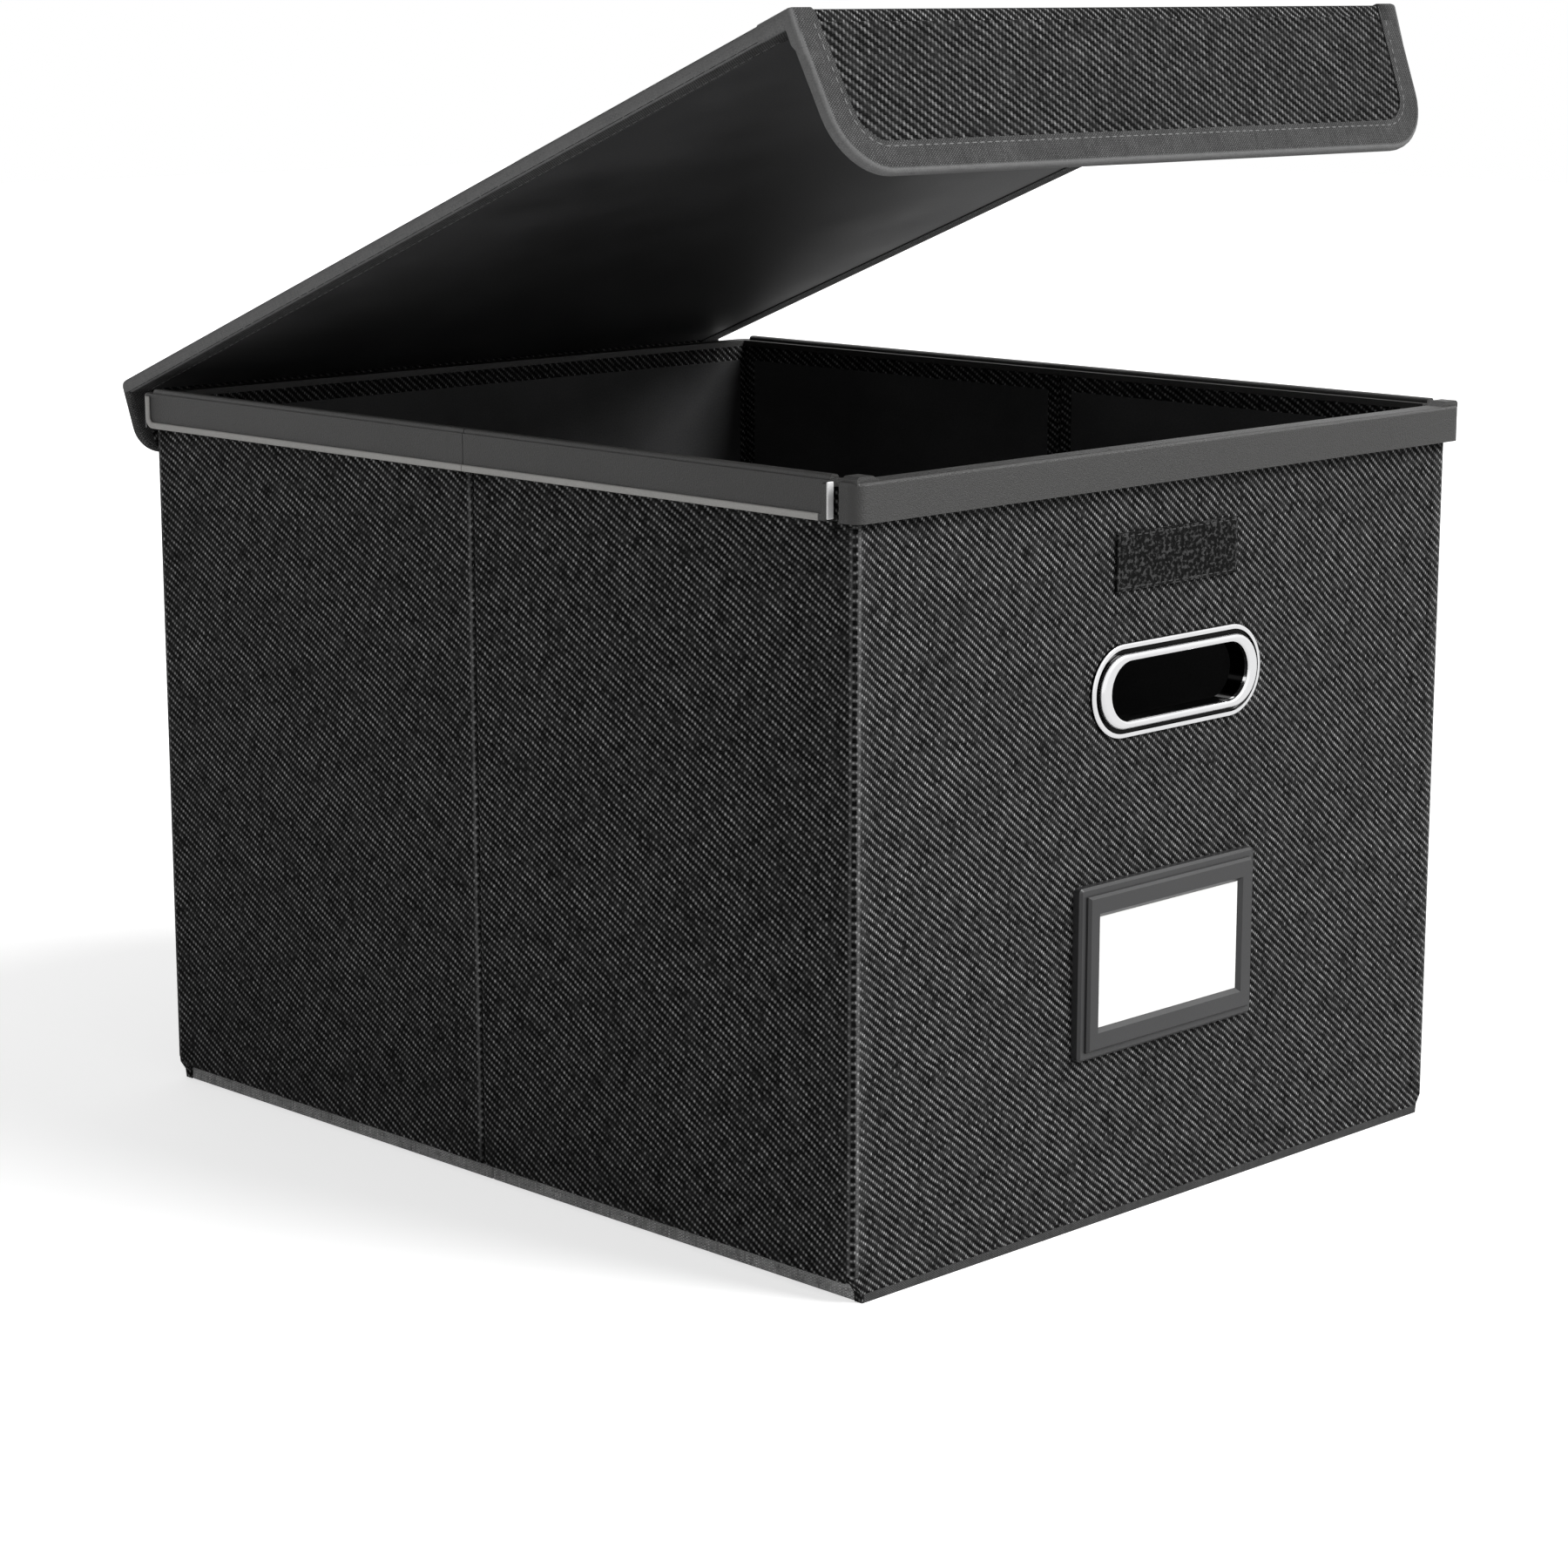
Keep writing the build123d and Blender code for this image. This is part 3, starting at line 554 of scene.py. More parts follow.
def moulded(name, colour, roughness, highlight_paint=False):
    material, tree, shader = new_material(name, roughness)
    place = put(tree, "ShaderNodeTexCoord", {}, out="Object")
    spark = noise(tree, place, 2600.0, 2.0)
    sheen = noise(tree, place, 18.0, 4.0)
    tone = calc(tree, "MULTIPLY", calc(tree, "MULTIPLY_ADD", sheen, 0.35, 0.82),
                calc(tree, "MULTIPLY_ADD", spark, 0.3, 0.85))
    relief = SPARK_DEEP
    if highlight_paint:
        out = calc(tree, "ABSOLUTE", put(tree, "ShaderNodeSeparateXYZ", {0: place}))
        along = put(tree, "ShaderNodeSeparateXYZ", {0: place}, out=1)
        # Painted highlight: the proud bead of the side rails is drawn paler from near its front end
        # on.
        proud = remap(tree, out, BEAD_FROM, BEAD_FROM + BEAD_EASE, 0.0, BEAD_HIGHLIGHT - 1)
        begun = remap(tree, along, BEAD_START, BEAD_START + START_EASE)
        tone = calc(tree, "MULTIPLY", tone, calc(tree, "MULTIPLY_ADD", proud, begun, 1.0))
        # The rails' grain grows with the distance from y = 0, which lies just behind the crease.
        relief = along
    tree.links.new(calc(tree, "MULTIPLY_ADD", sheen, 0.2, roughness - 0.1),
                   shader.inputs["Roughness"])
    dress_shader(tree, shader, scaled(tree, colour, tone), spark, 0.25, relief)
    return material


def dress(nodes, material):
    """Gives CAD nodes that stay a finish in place of the plain one they come with."""
    for name in nodes:
        mesh = frame["nodes"][name].data
        mesh.materials.clear()
        mesh.materials.append(material)


rail_plastic = moulded("rail_plastic", RAIL_GREY, 0.42, highlight_paint=True)
dress(["front_rail", "back_rail", "left_rear_rail", "left_front_rail", "right_rear_rail",
       "right_front_rail"], rail_plastic)
# A pale plate at the cut end of each side rail, a painted highlight standing in for the glint
# there.
end_highlight = moulded("end_highlight", END_HIGHLIGHT, 0.3)
for side, body in ((-1, "left_front"), (1, "right_front")):
    low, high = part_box(f"{body}_rail")
    outer = high.x if side > 0 else low.x
    x0, x1 = sorted((outer, outer - side * END_WIDE))
    bm = solid((x0, low.y - END_THICK / 2, low.z + END_LIFT),
               (x1, low.y + END_THICK / 2, low.z + END_LIFT + END_HIGH))
    round_edges(bm, END_THICK / 2.2, 3)
    piece(f"{body}_rail_end_highlight", bm, end_highlight, "rail_plastic", body)


# Boards: grey recycled board, cut square and hidden by the cloth glued over it.
# Its cut faces show pressed fibres.
def speckled(name, colour, roughness, grain, detail, spread, least, strength=0.0, depth=0.0):
    """A plain finish whose tone goes up from `least` by `spread` with its specks."""
    material, tree, shader = new_material(name, roughness)
    place = put(tree, "ShaderNodeTexCoord", {}, out="Object")
    specks = noise(tree, place, grain, detail)
    colour = scaled(tree, colour, calc(tree, "MULTIPLY_ADD", specks, spread, least))
    dress_shader(tree, shader, colour, specks if strength else None, strength, depth)
    return material


BOARD_GREY = (0.26, 0.25, 0.23)
grey_board = speckled("grey_board", BOARD_GREY, roughness=0.9, grain=700.0, detail=5.0,
                      spread=0.5, least=0.75)
dress([n for n in frame["nodes"] if n.endswith("_board")], grey_board)


# Foot hems: the cloth of the front and back walls is turned under at the foot and held by a
# strip of charcoal webbing along the edge.
HEM_WARP = (0.15, 0.15, 0.15, 1)
HEM_WEFT = (0.07, 0.07, 0.07, 1)
HEM_SHORT, HEM_LOW, HEM_HIGH = 0.0046, 0.0002, 0.0030
HEM_PROUD, HEM_SUNK = 0.0003, 0.0005
hem_tape = woven("charcoal_hem", 0.0005, 2, 1, HEM_WARP, HEM_WEFT, gap=0.4, slub=0.3,
                 relief=0.0002, roughness=0.85)
for name, place in (("front", AT_FRONT), ("back", AT_BACK)):
    half = HALF_WIDE - HEM_SHORT
    bm = solid((-half, -HEM_PROUD, HEM_LOW), (half, HEM_SUNK, HEM_HIGH))
    round_edges(bm, HEM_PROUD * 0.8, 2)
    bmesh.ops.transform(bm, matrix=place, verts=bm.verts)
    piece(f"{name}_foot_hem", bm, hem_tape, "linen", name)


# Floor: two lined panels that hinge at the middle. Their side edges are bound in grey webbing,
# which is the pale band that shows under the side walls, and a thin lip of it runs on under the
# wall. All of the webbing but its outer nose, the lip too, is drawn dark as painted shade, as it
# lies in shade.
PALE_WARP = (0.80, 0.80, 0.80, 1)
PALE_WEFT = (0.52, 0.52, 0.52, 1)
TAPE_YARN = 0.00062
TAPE_ROUND = 0.0007
TAPE_WIDE = 0.010
SEWN_IN = 0.0018
NOSE_WIDE, NOSE_EDGE = 0.0008, 0.0002
INNER_SHADE = -0.78
LIP_HELD, LIP_REACH = 0.0030, 0.0016
LIP_DOWN, LIP_THICK = 0.00005, 0.0002
HAIR = 0.0001
THREAD_COLOUR = (0.14, 0.14, 0.14)
STITCH_LONG, STITCH_WIDE, STITCH_HIGH = 0.0027, 0.00055, 0.00035
STITCH_PITCH = 0.0036
random.seed(11)


def stitch_row(bm, points, face):
    """A row of lockstitch along a run of points, lying on a face with the given normal."""
    face = Vector(face).normalized()
    todo = STITCH_PITCH / 2
    for a, b in zip(points, points[1:]):
        a, b = Vector(a), Vector(b)
        run = (b - a).length
        along = (b - a).normalized()
        turn = Matrix((along, face.cross(along), face)).transposed().to_4x4()
        while todo < run:
            size = Matrix.Diagonal((STITCH_LONG / 2 * random.uniform(0.92, 1.06), STITCH_WIDE / 2,
                                    STITCH_HIGH / 2, 1))
            at = Matrix.Translation(a + along * todo)
            bmesh.ops.create_icosphere(bm, subdivisions=1, radius=1, matrix=at @ turn @ size)
            todo += STITCH_PITCH
        todo -= run


def everything(bm):
    return bm.verts[:] + bm.edges[:] + bm.faces[:]


def merge(bm, part):
    """Adds a finished part to a mesh as a shell of its own."""
    mesh = bpy.data.meshes.new("part")
    part.to_mesh(mesh)
    part.free()
    bm.from_mesh(mesh)
    bpy.data.meshes.remove(mesh)


def paint_light(bm, amount, where):
    """Paints light on the cloth at the vertices that `where` picks: above 0 a painted highlight,
    below 0 painted shade.
    """
    light_paint = bm.verts.layers.float.new("painted_light")
    for vert in bm.verts:
        if where(vert.co):
            vert[light_paint] = amount


pale_tape = woven("pale_webbing", TAPE_YARN, 2, 1, PALE_WARP, PALE_WEFT, gap=0.6, slub=0.5,
                  relief=0.0003, roughness=0.8)
thread = speckled("grey_thread", THREAD_COLOUR, roughness=0.6, grain=2500.0, detail=1.0,
                  spread=0.6, least=0.7)
for end in ("front", "rear"):
    body = f"floor_{end}"
    bm = solid(*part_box(f"{body}_cover"))
    round_edges(bm, LINING_ROUND, 2)
    piece(f"{body}_underside", bm, linen, "linen", body, replaces=[f"{body}_cover"])
    bm = lining_sheet(*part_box(f"{body}_lining"), (0, 0, LINING_PROUD))
    piece(f"{body}_inside", bm, lining, "lining", body, replaces=[f"{body}_lining"])
    low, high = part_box(f"{body}_binding")
    bm = bmesh.new()
    stitches = bmesh.new()
    for side in (-1, 1):
        x0, x1 = sorted((side * high.x, side * (high.x - TAPE_WIDE)))
        part = solid((x0, low.y, low.z), (x1, high.y, high.z))
        round_edges(part, TAPE_ROUND, 3)
        for reach in (NOSE_WIDE - NOSE_EDGE, NOSE_WIDE + NOSE_EDGE):
            bmesh.ops.bisect_plane(part, geom=everything(part), dist=1e-7, plane_no=(1, 0, 0),
                                   plane_co=(side * (high.x - reach), 0, 0))
        merge(bm, part)
        x0, x1 = sorted((side * (high.x - LIP_HELD), side * (high.x + LIP_REACH)))
        merge(bm, solid((x0, low.y, high.z - LIP_DOWN - LIP_THICK),
                        (x1, high.y, high.z - LIP_DOWN)))
        row_x = side * (high.x - TAPE_WIDE + SEWN_IN)
        stitch_row(stitches, [(row_x, low.y, high.z), (row_x, high.y, high.z)], (0, 0, 1))
    # Painted shade on all of the webbing but its outer nose.
    paint_light(bm, INNER_SHADE, lambda co: not high.x - NOSE_WIDE < abs(co.x) < high.x + HAIR)
    piece(f"{body}_webbing", bm, pale_tape, "binding_tape", body, replaces=[f"{body}_binding"])
    piece(f"{body}_stitches", stitches, thread, "binding_tape", body)


# Cloth over the floor's folds: linen below and lining above bridge the fold at the middle, and
# lining alone turns up from the floor on to the back wall.
FLOOR_HALF_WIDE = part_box("floor_front_lining")[1].x - 0.0004
FOLD_PROFILE = ((0.0012, 0.0001), (0.003, 0.0003), (0.011, 0.0003), (0.012, -0.0001))


def across_strip(section, half, columns=40):
    """A strip of cloth through points given as (y, z), from -half to half across the box."""
    return drawn_strip([(-half, y, z) for y, z in section], (2 * half / columns, 0, 0), columns)


floor_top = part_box("floor_front_lining")[1].z + LINING_PROUD
section = [(-y, z) for y, z in reversed(FOLD_PROFILE)] + [(0, -0.0004)] + list(FOLD_PROFILE)
for name, level, facing, cloth, slot in (("floor_fold_lining", floor_top, 1, lining, "lining"),
                                         ("floor_fold_linen", 0.0002, -1, linen, "linen")):
    bm = across_strip([(CREASE_Y + y, level + facing * z) for y, z in section], FLOOR_HALF_WIDE)
    made = cloth_strip(name, bm, cloth, slot, (0, 0, facing))
    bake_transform(made)
inside_y = BACK_Y - WALL_THICK - LINING_PROUD
section = [(0.0001, 0.020), (-0.0003, 0.018), (-0.0003, 0.0100), (-0.0006, 0.0080),
           (-0.0015, 0.0068), (-0.0030, 0.0064), (-0.0060, 0.0063), (-0.0110, 0.0063),
           (-0.0120, 0.0060)]
bm = across_strip([(inside_y + y, z) for y, z in section], FLOOR_HALF_WIDE)
made = cloth_strip("floor_hinge_lining", bm, lining, "lining", (0, -1, 0))
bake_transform(made)


# Lid: one board in linen with a short skirt hanging behind the back wall. It is drawn here as
# if shut and turned open with the frame. Its front edge is cut at a slant, where the flap folds.
lid_joint = next(j for j in frame["joints"] if j["name"] == "lid_hinge")
flap_joint = next(j for j in frame["joints"] if j["name"] == "flap_hinge")
HINGE_AT = Vector(lid_joint["pos_m"])
LID_OPEN = math.radians(-lid_joint["range_deg"][0])
OPEN_LID = (Matrix.Translation(HINGE_AT) @ Matrix.Rotation(-LID_OPEN, 4, "X")
            @ Matrix.Translation(-HINGE_AT))
FOLD_AT = OPEN_LID.inverted() @ Vector(flap_joint["pos_m"])
LID_LONG, LID_THICK, LID_ROUND = 0.3862, 0.0045, 0.0022
LID_TOP = FOLD_AT.z
LID_UNDER = LID_TOP - LID_THICK
LID_BACK = FOLD_AT.y + LID_LONG
SKIRT_THICK, SKIRT_FOOT, SKIRT_ROUND = 0.0035, 0.2475, 0.010
FOLD_GAP = 0.00032
LID_EDGE = FOLD_AT + Vector((0, FOLD_GAP, 0))
INSIDE_SHORT, INSIDE_THICK = 0.003, 0.0004


def cut(bm, at, facing):
    """Cuts off what lies beyond a plane and closes the solid again."""
    made = bmesh.ops.bisect_plane(bm, geom=everything(bm), dist=1e-7, plane_co=at,
                                  plane_no=facing, clear_outer=True)
    edges = [e for e in made["geom_cut"] if isinstance(e, bmesh.types.BMEdge)]
    bmesh.ops.edgeloop_fill(bm, edges=edges)
    bmesh.ops.recalc_face_normals(bm, faces=bm.faces[:])


def top_back_edge(edge):
    return all(v.co.y > LID_BACK - 1e-5 and v.co.z > LID_TOP - 1e-5 for v in edge.verts)


bm = solid((-HALF_WIDE, FOLD_AT.y, LID_UNDER), (HALF_WIDE, LID_BACK, LID_TOP))
cut(bm, LID_EDGE, (0, -1, -1))
round_edges(bm, LID_ROUND, 5, top_back_edge)
piece("lid_linen", bm, linen, "linen", "lid", OPEN_LID, ["lid_cover"])

half = HALF_WIDE - INSIDE_SHORT
bm = lining_sheet((-half, FOLD_AT.y + 0.005, LID_UNDER),
                  (half, LID_BACK - SKIRT_THICK - 0.001, LID_UNDER + INSIDE_THICK),
                  (0, 0, -LINING_PROUD))
piece("lid_inside", bm, lining, "lining", "lid", OPEN_LID, ["lid_lining"])


# Binding of lid, skirt and flap: grey webbing folded over the raw edge and sewn through with
# one row of stitches. On the skirt and the flap it follows the rounded lower corners.
TAPE_WARP = (0.20, 0.20, 0.20, 1)
TAPE_WEFT = (0.08, 0.08, 0.08, 1)
TAPE_THICK = 0.0005
# The tape's nose is drawn paler, a painted highlight where it turns to the light.
TAPE_NOSE, NOSE_MARGIN, NOSE_HIGHLIGHT = 0.0019, 0.003, 0.8
FLAP_LONG, FLAP_THICK, FLAP_NARROWER, FLAP_ROUND = 0.0540, 0.0038, 0.0055, 0.022
FLAP_TILT = math.radians(2.4)
OPEN_FLAP = (OPEN_LID @ Matrix.Translation(FOLD_AT) @ Matrix.Rotation(-FLAP_TILT, 4, "X")
             @ Matrix.Translation(-FOLD_AT))
FLAP_EDGE = FOLD_AT - Vector((0, 0, FOLD_GAP))
SKIRT = (HALF_WIDE, HALF_WIDE, LID_UNDER, SKIRT_FOOT, SKIRT_ROUND)
FLAP = (HALF_WIDE, HALF_WIDE - FLAP_NARROWER, LID_TOP, LID_TOP - FLAP_LONG, FLAP_ROUND)


def tab_outline(bm, half_top, half_foot, top, foot, radius, steps=10):
    """The outline of a hanging tab with rounded lower corners, as a face in X and Z."""
    verts = [bm.verts.new(p) for p in ((-half_top, 0, top), (-half_foot, 0, foot),
                                       (half_foot, 0, foot), (half_top, 0, top))]
    bmesh.ops.contextual_create(bm, geom=verts)
    slant = math.atan2(half_top - half_foot, top - foot)
    reach = radius * math.tan((math.radians(90) - slant) / 2)
    bmesh.ops.bevel(bm, geom=verts[1:3], offset=reach, offset_type="OFFSET", segments=steps,
                    profile=0.5, affect="VERTICES", material=-1, clamp_overlap=True)
    return bm.faces[:][-1]


def tab_points(inset, half_top, half_foot, top, foot, radius, y):
    """The tab's outline, drawn in by inset, as a run of points from one top corner round."""
    bm = bmesh.new()
    face = tab_outline(bm, half_top - inset, half_foot - inset, top, foot + inset,
                       max(radius - inset, 0.0008))
    points = [Vector((v.co.x, y, v.co.z)) for v in face.verts]
    bm.free()
    top_left = min(range(len(points)), key=lambda k: points[k].x - 10 * points[k].z)
    points = points[top_left:] + points[:top_left]
    if points[1].z > top - 1e-5:
        points = [points[0]] + points[:0:-1]
    return points


def tab_binding(half_top, half_foot, top, foot, radius, y_front, y_back):
    """Folded tape down one side of a tab, across its foot and up the other side.

    It is drawn on above the tab's top by `rise` and cut off level there."""
    rise = 0.03
    spread = rise * (half_top - half_foot) / (top - foot)
    bm = bmesh.new()
    edges = []
    loops = [tab_points(inset, half_top, half_foot, top, foot, radius, y_front)
             for inset in (-TAPE_THICK, TAPE_WIDE)]
    for points in loops:
        points[0] += Vector((-spread, 0, rise))
        points[-1] += Vector((spread, 0, rise))
        edges += ring(bm, points)
    bmesh.ops.bridge_loops(bm, edges=edges)
    thicken(bm, y_back - y_front)
    shape = half_top, half_foot, top, foot, radius
    round_edges(bm, TAPE_NOSE, 4, lambda e: nose_edge(e, shape))
    cut(bm, (0, 0, top), (0, 0, 1))
    return bm


def on_nose(point, margin, half_top, half_foot, top, foot, radius):
    """True in the outermost margin of a bound tab, where the folded tape turns round its edge."""
    half = half_top + (half_foot - half_top) * (top - point.z) / (top - foot)
    corner_x, corner_z = half - radius, foot + radius
    if abs(point.x) > corner_x and point.z < corner_z:
        return math.hypot(abs(point.x) - corner_x, point.z - corner_z) > radius - margin
    return abs(point.x) > half - margin or point.z < foot + margin


def nose_edge(edge, shape):
    """True for the long edges of the tape's nose, on both faces of a tab."""
    a, b = edge.verts
    middle = (a.co + b.co) / 2
    in_face = abs(a.co.y - b.co.y) < 1e-6
    below_top = middle.z - abs(a.co.z - b.co.z) < shape[2]
    return in_face and below_top and on_nose(middle, NOSE_MARGIN, *shape)


tape = woven("grey_webbing", TAPE_YARN, 2, 1, TAPE_WARP, TAPE_WEFT, gap=0.4, slub=0.35,
             relief=0.0003, roughness=0.8)
bm = bmesh.new()
stitches = bmesh.new()
for side in (-1, 1):
    x0, x1 = sorted((side * (HALF_WIDE + TAPE_THICK), side * (HALF_WIDE - TAPE_WIDE)))
    part = solid((x0, FOLD_AT.y - 0.01, LID_UNDER - TAPE_THICK),
                 (x1, LID_BACK + TAPE_THICK, LID_TOP + TAPE_THICK))
    round_edges(part, LID_ROUND + TAPE_THICK, 4, top_back_edge)
    round_edges(part, TAPE_NOSE, 4, lambda e: all(abs(v.co.x) > HALF_WIDE for v in e.verts))
    cut(part, LID_EDGE, (0, -1, -1))
    cut(part, LID_EDGE, (0, -1, 0))
    merge(bm, part)
    row_x = side * (HALF_WIDE - TAPE_WIDE + SEWN_IN)
    for z, face in ((LID_TOP + TAPE_THICK, 1), (LID_UNDER - TAPE_THICK, -1)):
        stitch_row(stitches, [(row_x, FOLD_AT.y + 0.006, z), (row_x, LID_BACK - 0.004, z)],
                   (0, 0, face))
# Painted highlight on the nose of the lid's tape.
paint_light(bm, NOSE_HIGHLIGHT, lambda co: abs(co.x) > HALF_WIDE - NOSE_MARGIN
    and abs(co.z - LID_TOP + LID_THICK / 2) < LID_THICK / 2 + TAPE_THICK - HAIR)
piece("lid_webbing", bm, tape, "binding_tape", "lid", OPEN_LID, ["lid_binding"])
piece("lid_stitches", stitches, thread, "binding_tape", "lid", OPEN_LID)

bm = bmesh.new()
tab_outline(bm, HALF_WIDE, HALF_WIDE, LID_UNDER + LID_THICK / 3, SKIRT_FOOT, SKIRT_ROUND)
bmesh.ops.translate(bm, vec=(0, LID_BACK - SKIRT_THICK, 0), verts=bm.verts)
thicken(bm, SKIRT_THICK)
piece("skirt_linen", bm, linen, "linen", "lid", OPEN_LID, ["skirt_cover"])

for name, body, shape, turn, y0, y1 in (
        ("skirt", "lid", SKIRT, OPEN_LID, LID_BACK - SKIRT_THICK, LID_BACK),
        ("flap", "flap", FLAP, OPEN_FLAP, FOLD_AT.y, FOLD_AT.y + FLAP_THICK)):
    bm = tab_binding(*shape, y0 - TAPE_THICK, y1 + TAPE_THICK)
    if name == "flap":
        cut(bm, FLAP_EDGE, (0, 1, 1))
        cut(bm, FLAP_EDGE, (0, 0, 1))
        # Painted highlight on the nose of the flap's tape.
        paint_light(bm, NOSE_HIGHLIGHT, lambda co: y0 - TAPE_THICK + HAIR < co.y < y1 + TAPE_THICK - HAIR
            and on_nose(co, NOSE_MARGIN, *shape))
    piece(f"{name}_webbing", bm, tape, "binding_tape", body, turn, [f"{name}_binding"])
    stitches = bmesh.new()
    for y, face in ((y0 - TAPE_THICK, -1), (y1 + TAPE_THICK, 1)):
        row = tab_points(TAPE_WIDE - SEWN_IN, *shape, y)
        row[0].z -= 0.004
        row[-1].z -= 0.004
        stitch_row(stitches, row, (0, face, 0))
    piece(f"{name}_stitches", stitches, thread, "binding_tape", body, turn)


# Front flap: a board tab in linen that folds down over the front wall, lined inside. Its linen is
# drawn coarser than that of the walls, and darker and with less contrast, as painted shade for the
# flatter light that falls on it.
FLAP_SHADED_WARP = (0.205, 0.205, 0.205, 1)
FLAP_COARSER = 1.35
flap_shaded_linen = woven("flap_linen", YARN, 4, 2, FLAP_SHADED_WARP, LINEN_WEFT, gap=0.24, slub=0.7,
                   relief=0.0003, roughness=0.85)
bm = bmesh.new()
tab_outline(bm, *FLAP)
bmesh.ops.translate(bm, vec=(0, FOLD_AT.y, 0), verts=bm.verts)
thicken(bm, FLAP_THICK)
cut(bm, FLAP_EDGE, (0, 1, 1))
round_edges(bm, CLOTH_ROUND * 0.8, 3)
piece("flap_linen", bm, flap_shaded_linen, "linen", "flap", OPEN_FLAP, ["flap_cover"], FLAP_COARSER)
bm = bmesh.new()
tab_outline(bm, FLAP[0] - INSIDE_SHORT, FLAP[1] - INSIDE_SHORT, LID_UNDER - 0.002,
            FLAP[3] + INSIDE_SHORT, FLAP_ROUND)
bmesh.ops.translate(bm, vec=(0, FOLD_AT.y + FLAP_THICK - INSIDE_THICK, 0), verts=bm.verts)
thicken(bm, INSIDE_THICK + LINING_PROUD)
piece("flap_inside", bm, lining, "lining", "flap", OPEN_FLAP, ["flap_lining"])


# Cloth over the lid's fold: the linen runs on from the lid over the fold and down the flap, and the
# lining does the same inside.
FOLD_ROUND = 0.0012
LID_FOLD_HALF = HALF_WIDE - TAPE_WIDE + 0.001
QUARTER_STEPS = 6


def ride_fold(made):
    """Fixes a piece in place by baking its placing into its mesh."""
    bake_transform(made)


section = [(0.012, -STRIP_SUNK), (0.010, STRIP_PROUD), (0.006, STRIP_PROUD), (0.003, STRIP_PROUD)]
for k in range(QUARTER_STEPS + 1):
    turn = math.radians(90) * k / QUARTER_STEPS
    reach = FOLD_ROUND + STRIP_PROUD
    section.append((FOLD_ROUND - reach * math.sin(turn), -FOLD_ROUND + reach * math.cos(turn)))
section += [(-STRIP_PROUD, -0.003), (-STRIP_PROUD, -0.006), (-STRIP_PROUD, -0.010),
            (STRIP_SUNK, -0.012)]
bm = across_strip([(FOLD_AT.y + y, FOLD_AT.z + z) for y, z in section], LID_FOLD_HALF)
made = cloth_strip("lid_fold_linen", bm, linen, "linen", (0, 0, 1), turn=OPEN_LID)
ride_fold(made)

section = [(0.016, 0.0001), (0.014, -0.0003), (0.009, -0.0003), (0.006, -0.0007),
           (0.0047, -0.0020), (0.0042, -0.0050), (0.0041, -0.0090), (0.0036, -0.0110)]
bm = across_strip([(FOLD_AT.y + y, LID_UNDER + z) for y, z in section], LID_FOLD_HALF)
made = cloth_strip("lid_fold_lining", bm, lining, "lining", (0, 0, -1), turn=OPEN_LID)
ride_fold(made)


# Webbing over the lid's fold: at each side the binding of the lid turns down into that of the
# flap in one piece, a little fuller than the tape before and behind it.
BULGE = TAPE_THICK + 0.00025
SUNK = TAPE_THICK - 0.0003
EXTRA_FULL = 0.0002
FOLD_FILLET = 0.0004
HIGHLIGHT_BACK = 0.0015
NOSE_SECTION = ((-TAPE_WIDE - 0.0003, 0), (-0.0022, 0), (-0.0010, 0.03), (-0.0003, 0.15),
                (0, 0.35), (0, 0.65), (-0.0003, 0.85), (-0.0010, 0.97), (-0.0022, 1),
                (-TAPE_WIDE - 0.0003, 1))


def fold_stations():
    """Outer and inner points (y, z) of the tape as it turns from the lid down into the flap."""
    under = -LID_THICK - BULGE
    inside = FLAP_THICK + TAPE_THICK + HAIR
    found = [((0.016, SUNK), (0.016, -LID_THICK - SUNK)), ((0.015, BULGE), (0.015, under)),
             ((0.009, BULGE), (0.0105, under)), ((0.005, BULGE), (0.0075, under))]
    for k in range(QUARTER_STEPS + 1):
        share = k / QUARTER_STEPS
        turn = math.radians(90) * share
        reach = FOLD_ROUND + BULGE + EXTRA_FULL * math.sin(2 * turn)
        found.append(((FOLD_ROUND - reach * math.sin(turn), -FOLD_ROUND + reach * math.cos(turn)),
                      (inside + FOLD_FILLET * (1 - share), under - FOLD_FILLET * share)))
    return found + [((-BULGE, -0.005), (inside, -0.0074)), ((-BULGE, -0.009), (inside, -0.0084)),
                    ((-BULGE, -0.015), (inside, -0.0094)),
                    ((-SUNK, -0.016), (FLAP_THICK + SUNK, -0.0102))]


for side, side_name in ((-1, "left"), (1, "right")):
    bm = bmesh.new()
    light_paint = bm.verts.layers.float.new("painted_light")
    verts = [bm.verts.new() for _ in NOSE_SECTION]
    run = [bm.edges.new(pair) for pair in zip(verts, verts[1:])]
    for count, (outer, inner) in enumerate(fold_stations()):
        if count:
            verts, run = run_on(bm, run)
        for vert, (back, share) in zip(verts, NOSE_SECTION):
            # Painted highlight on the nose of the tape over the fold.
            vert[light_paint] = NOSE_HIGHLIGHT if back > -HIGHLIGHT_BACK else 0.0
            drop = max(0.0, -(outer[1] + (inner[1] - outer[1]) * share) - LID_THICK / 2)
            narrow = drop * FLAP_NARROWER / FLAP_LONG if outer[1] < 0 else 0.0
            vert.co = (side * (HALF_WIDE + BULGE + back - narrow),
                       FOLD_AT.y + outer[0] + (inner[0] - outer[0]) * share,
                       FOLD_AT.z + outer[1] + (inner[1] - outer[1]) * share)
    made = cloth_strip(f"{side_name}_fold_webbing", bm, tape, "binding_tape", (side, 0, 0),
                       turn=OPEN_LID)
    ride_fold(made)


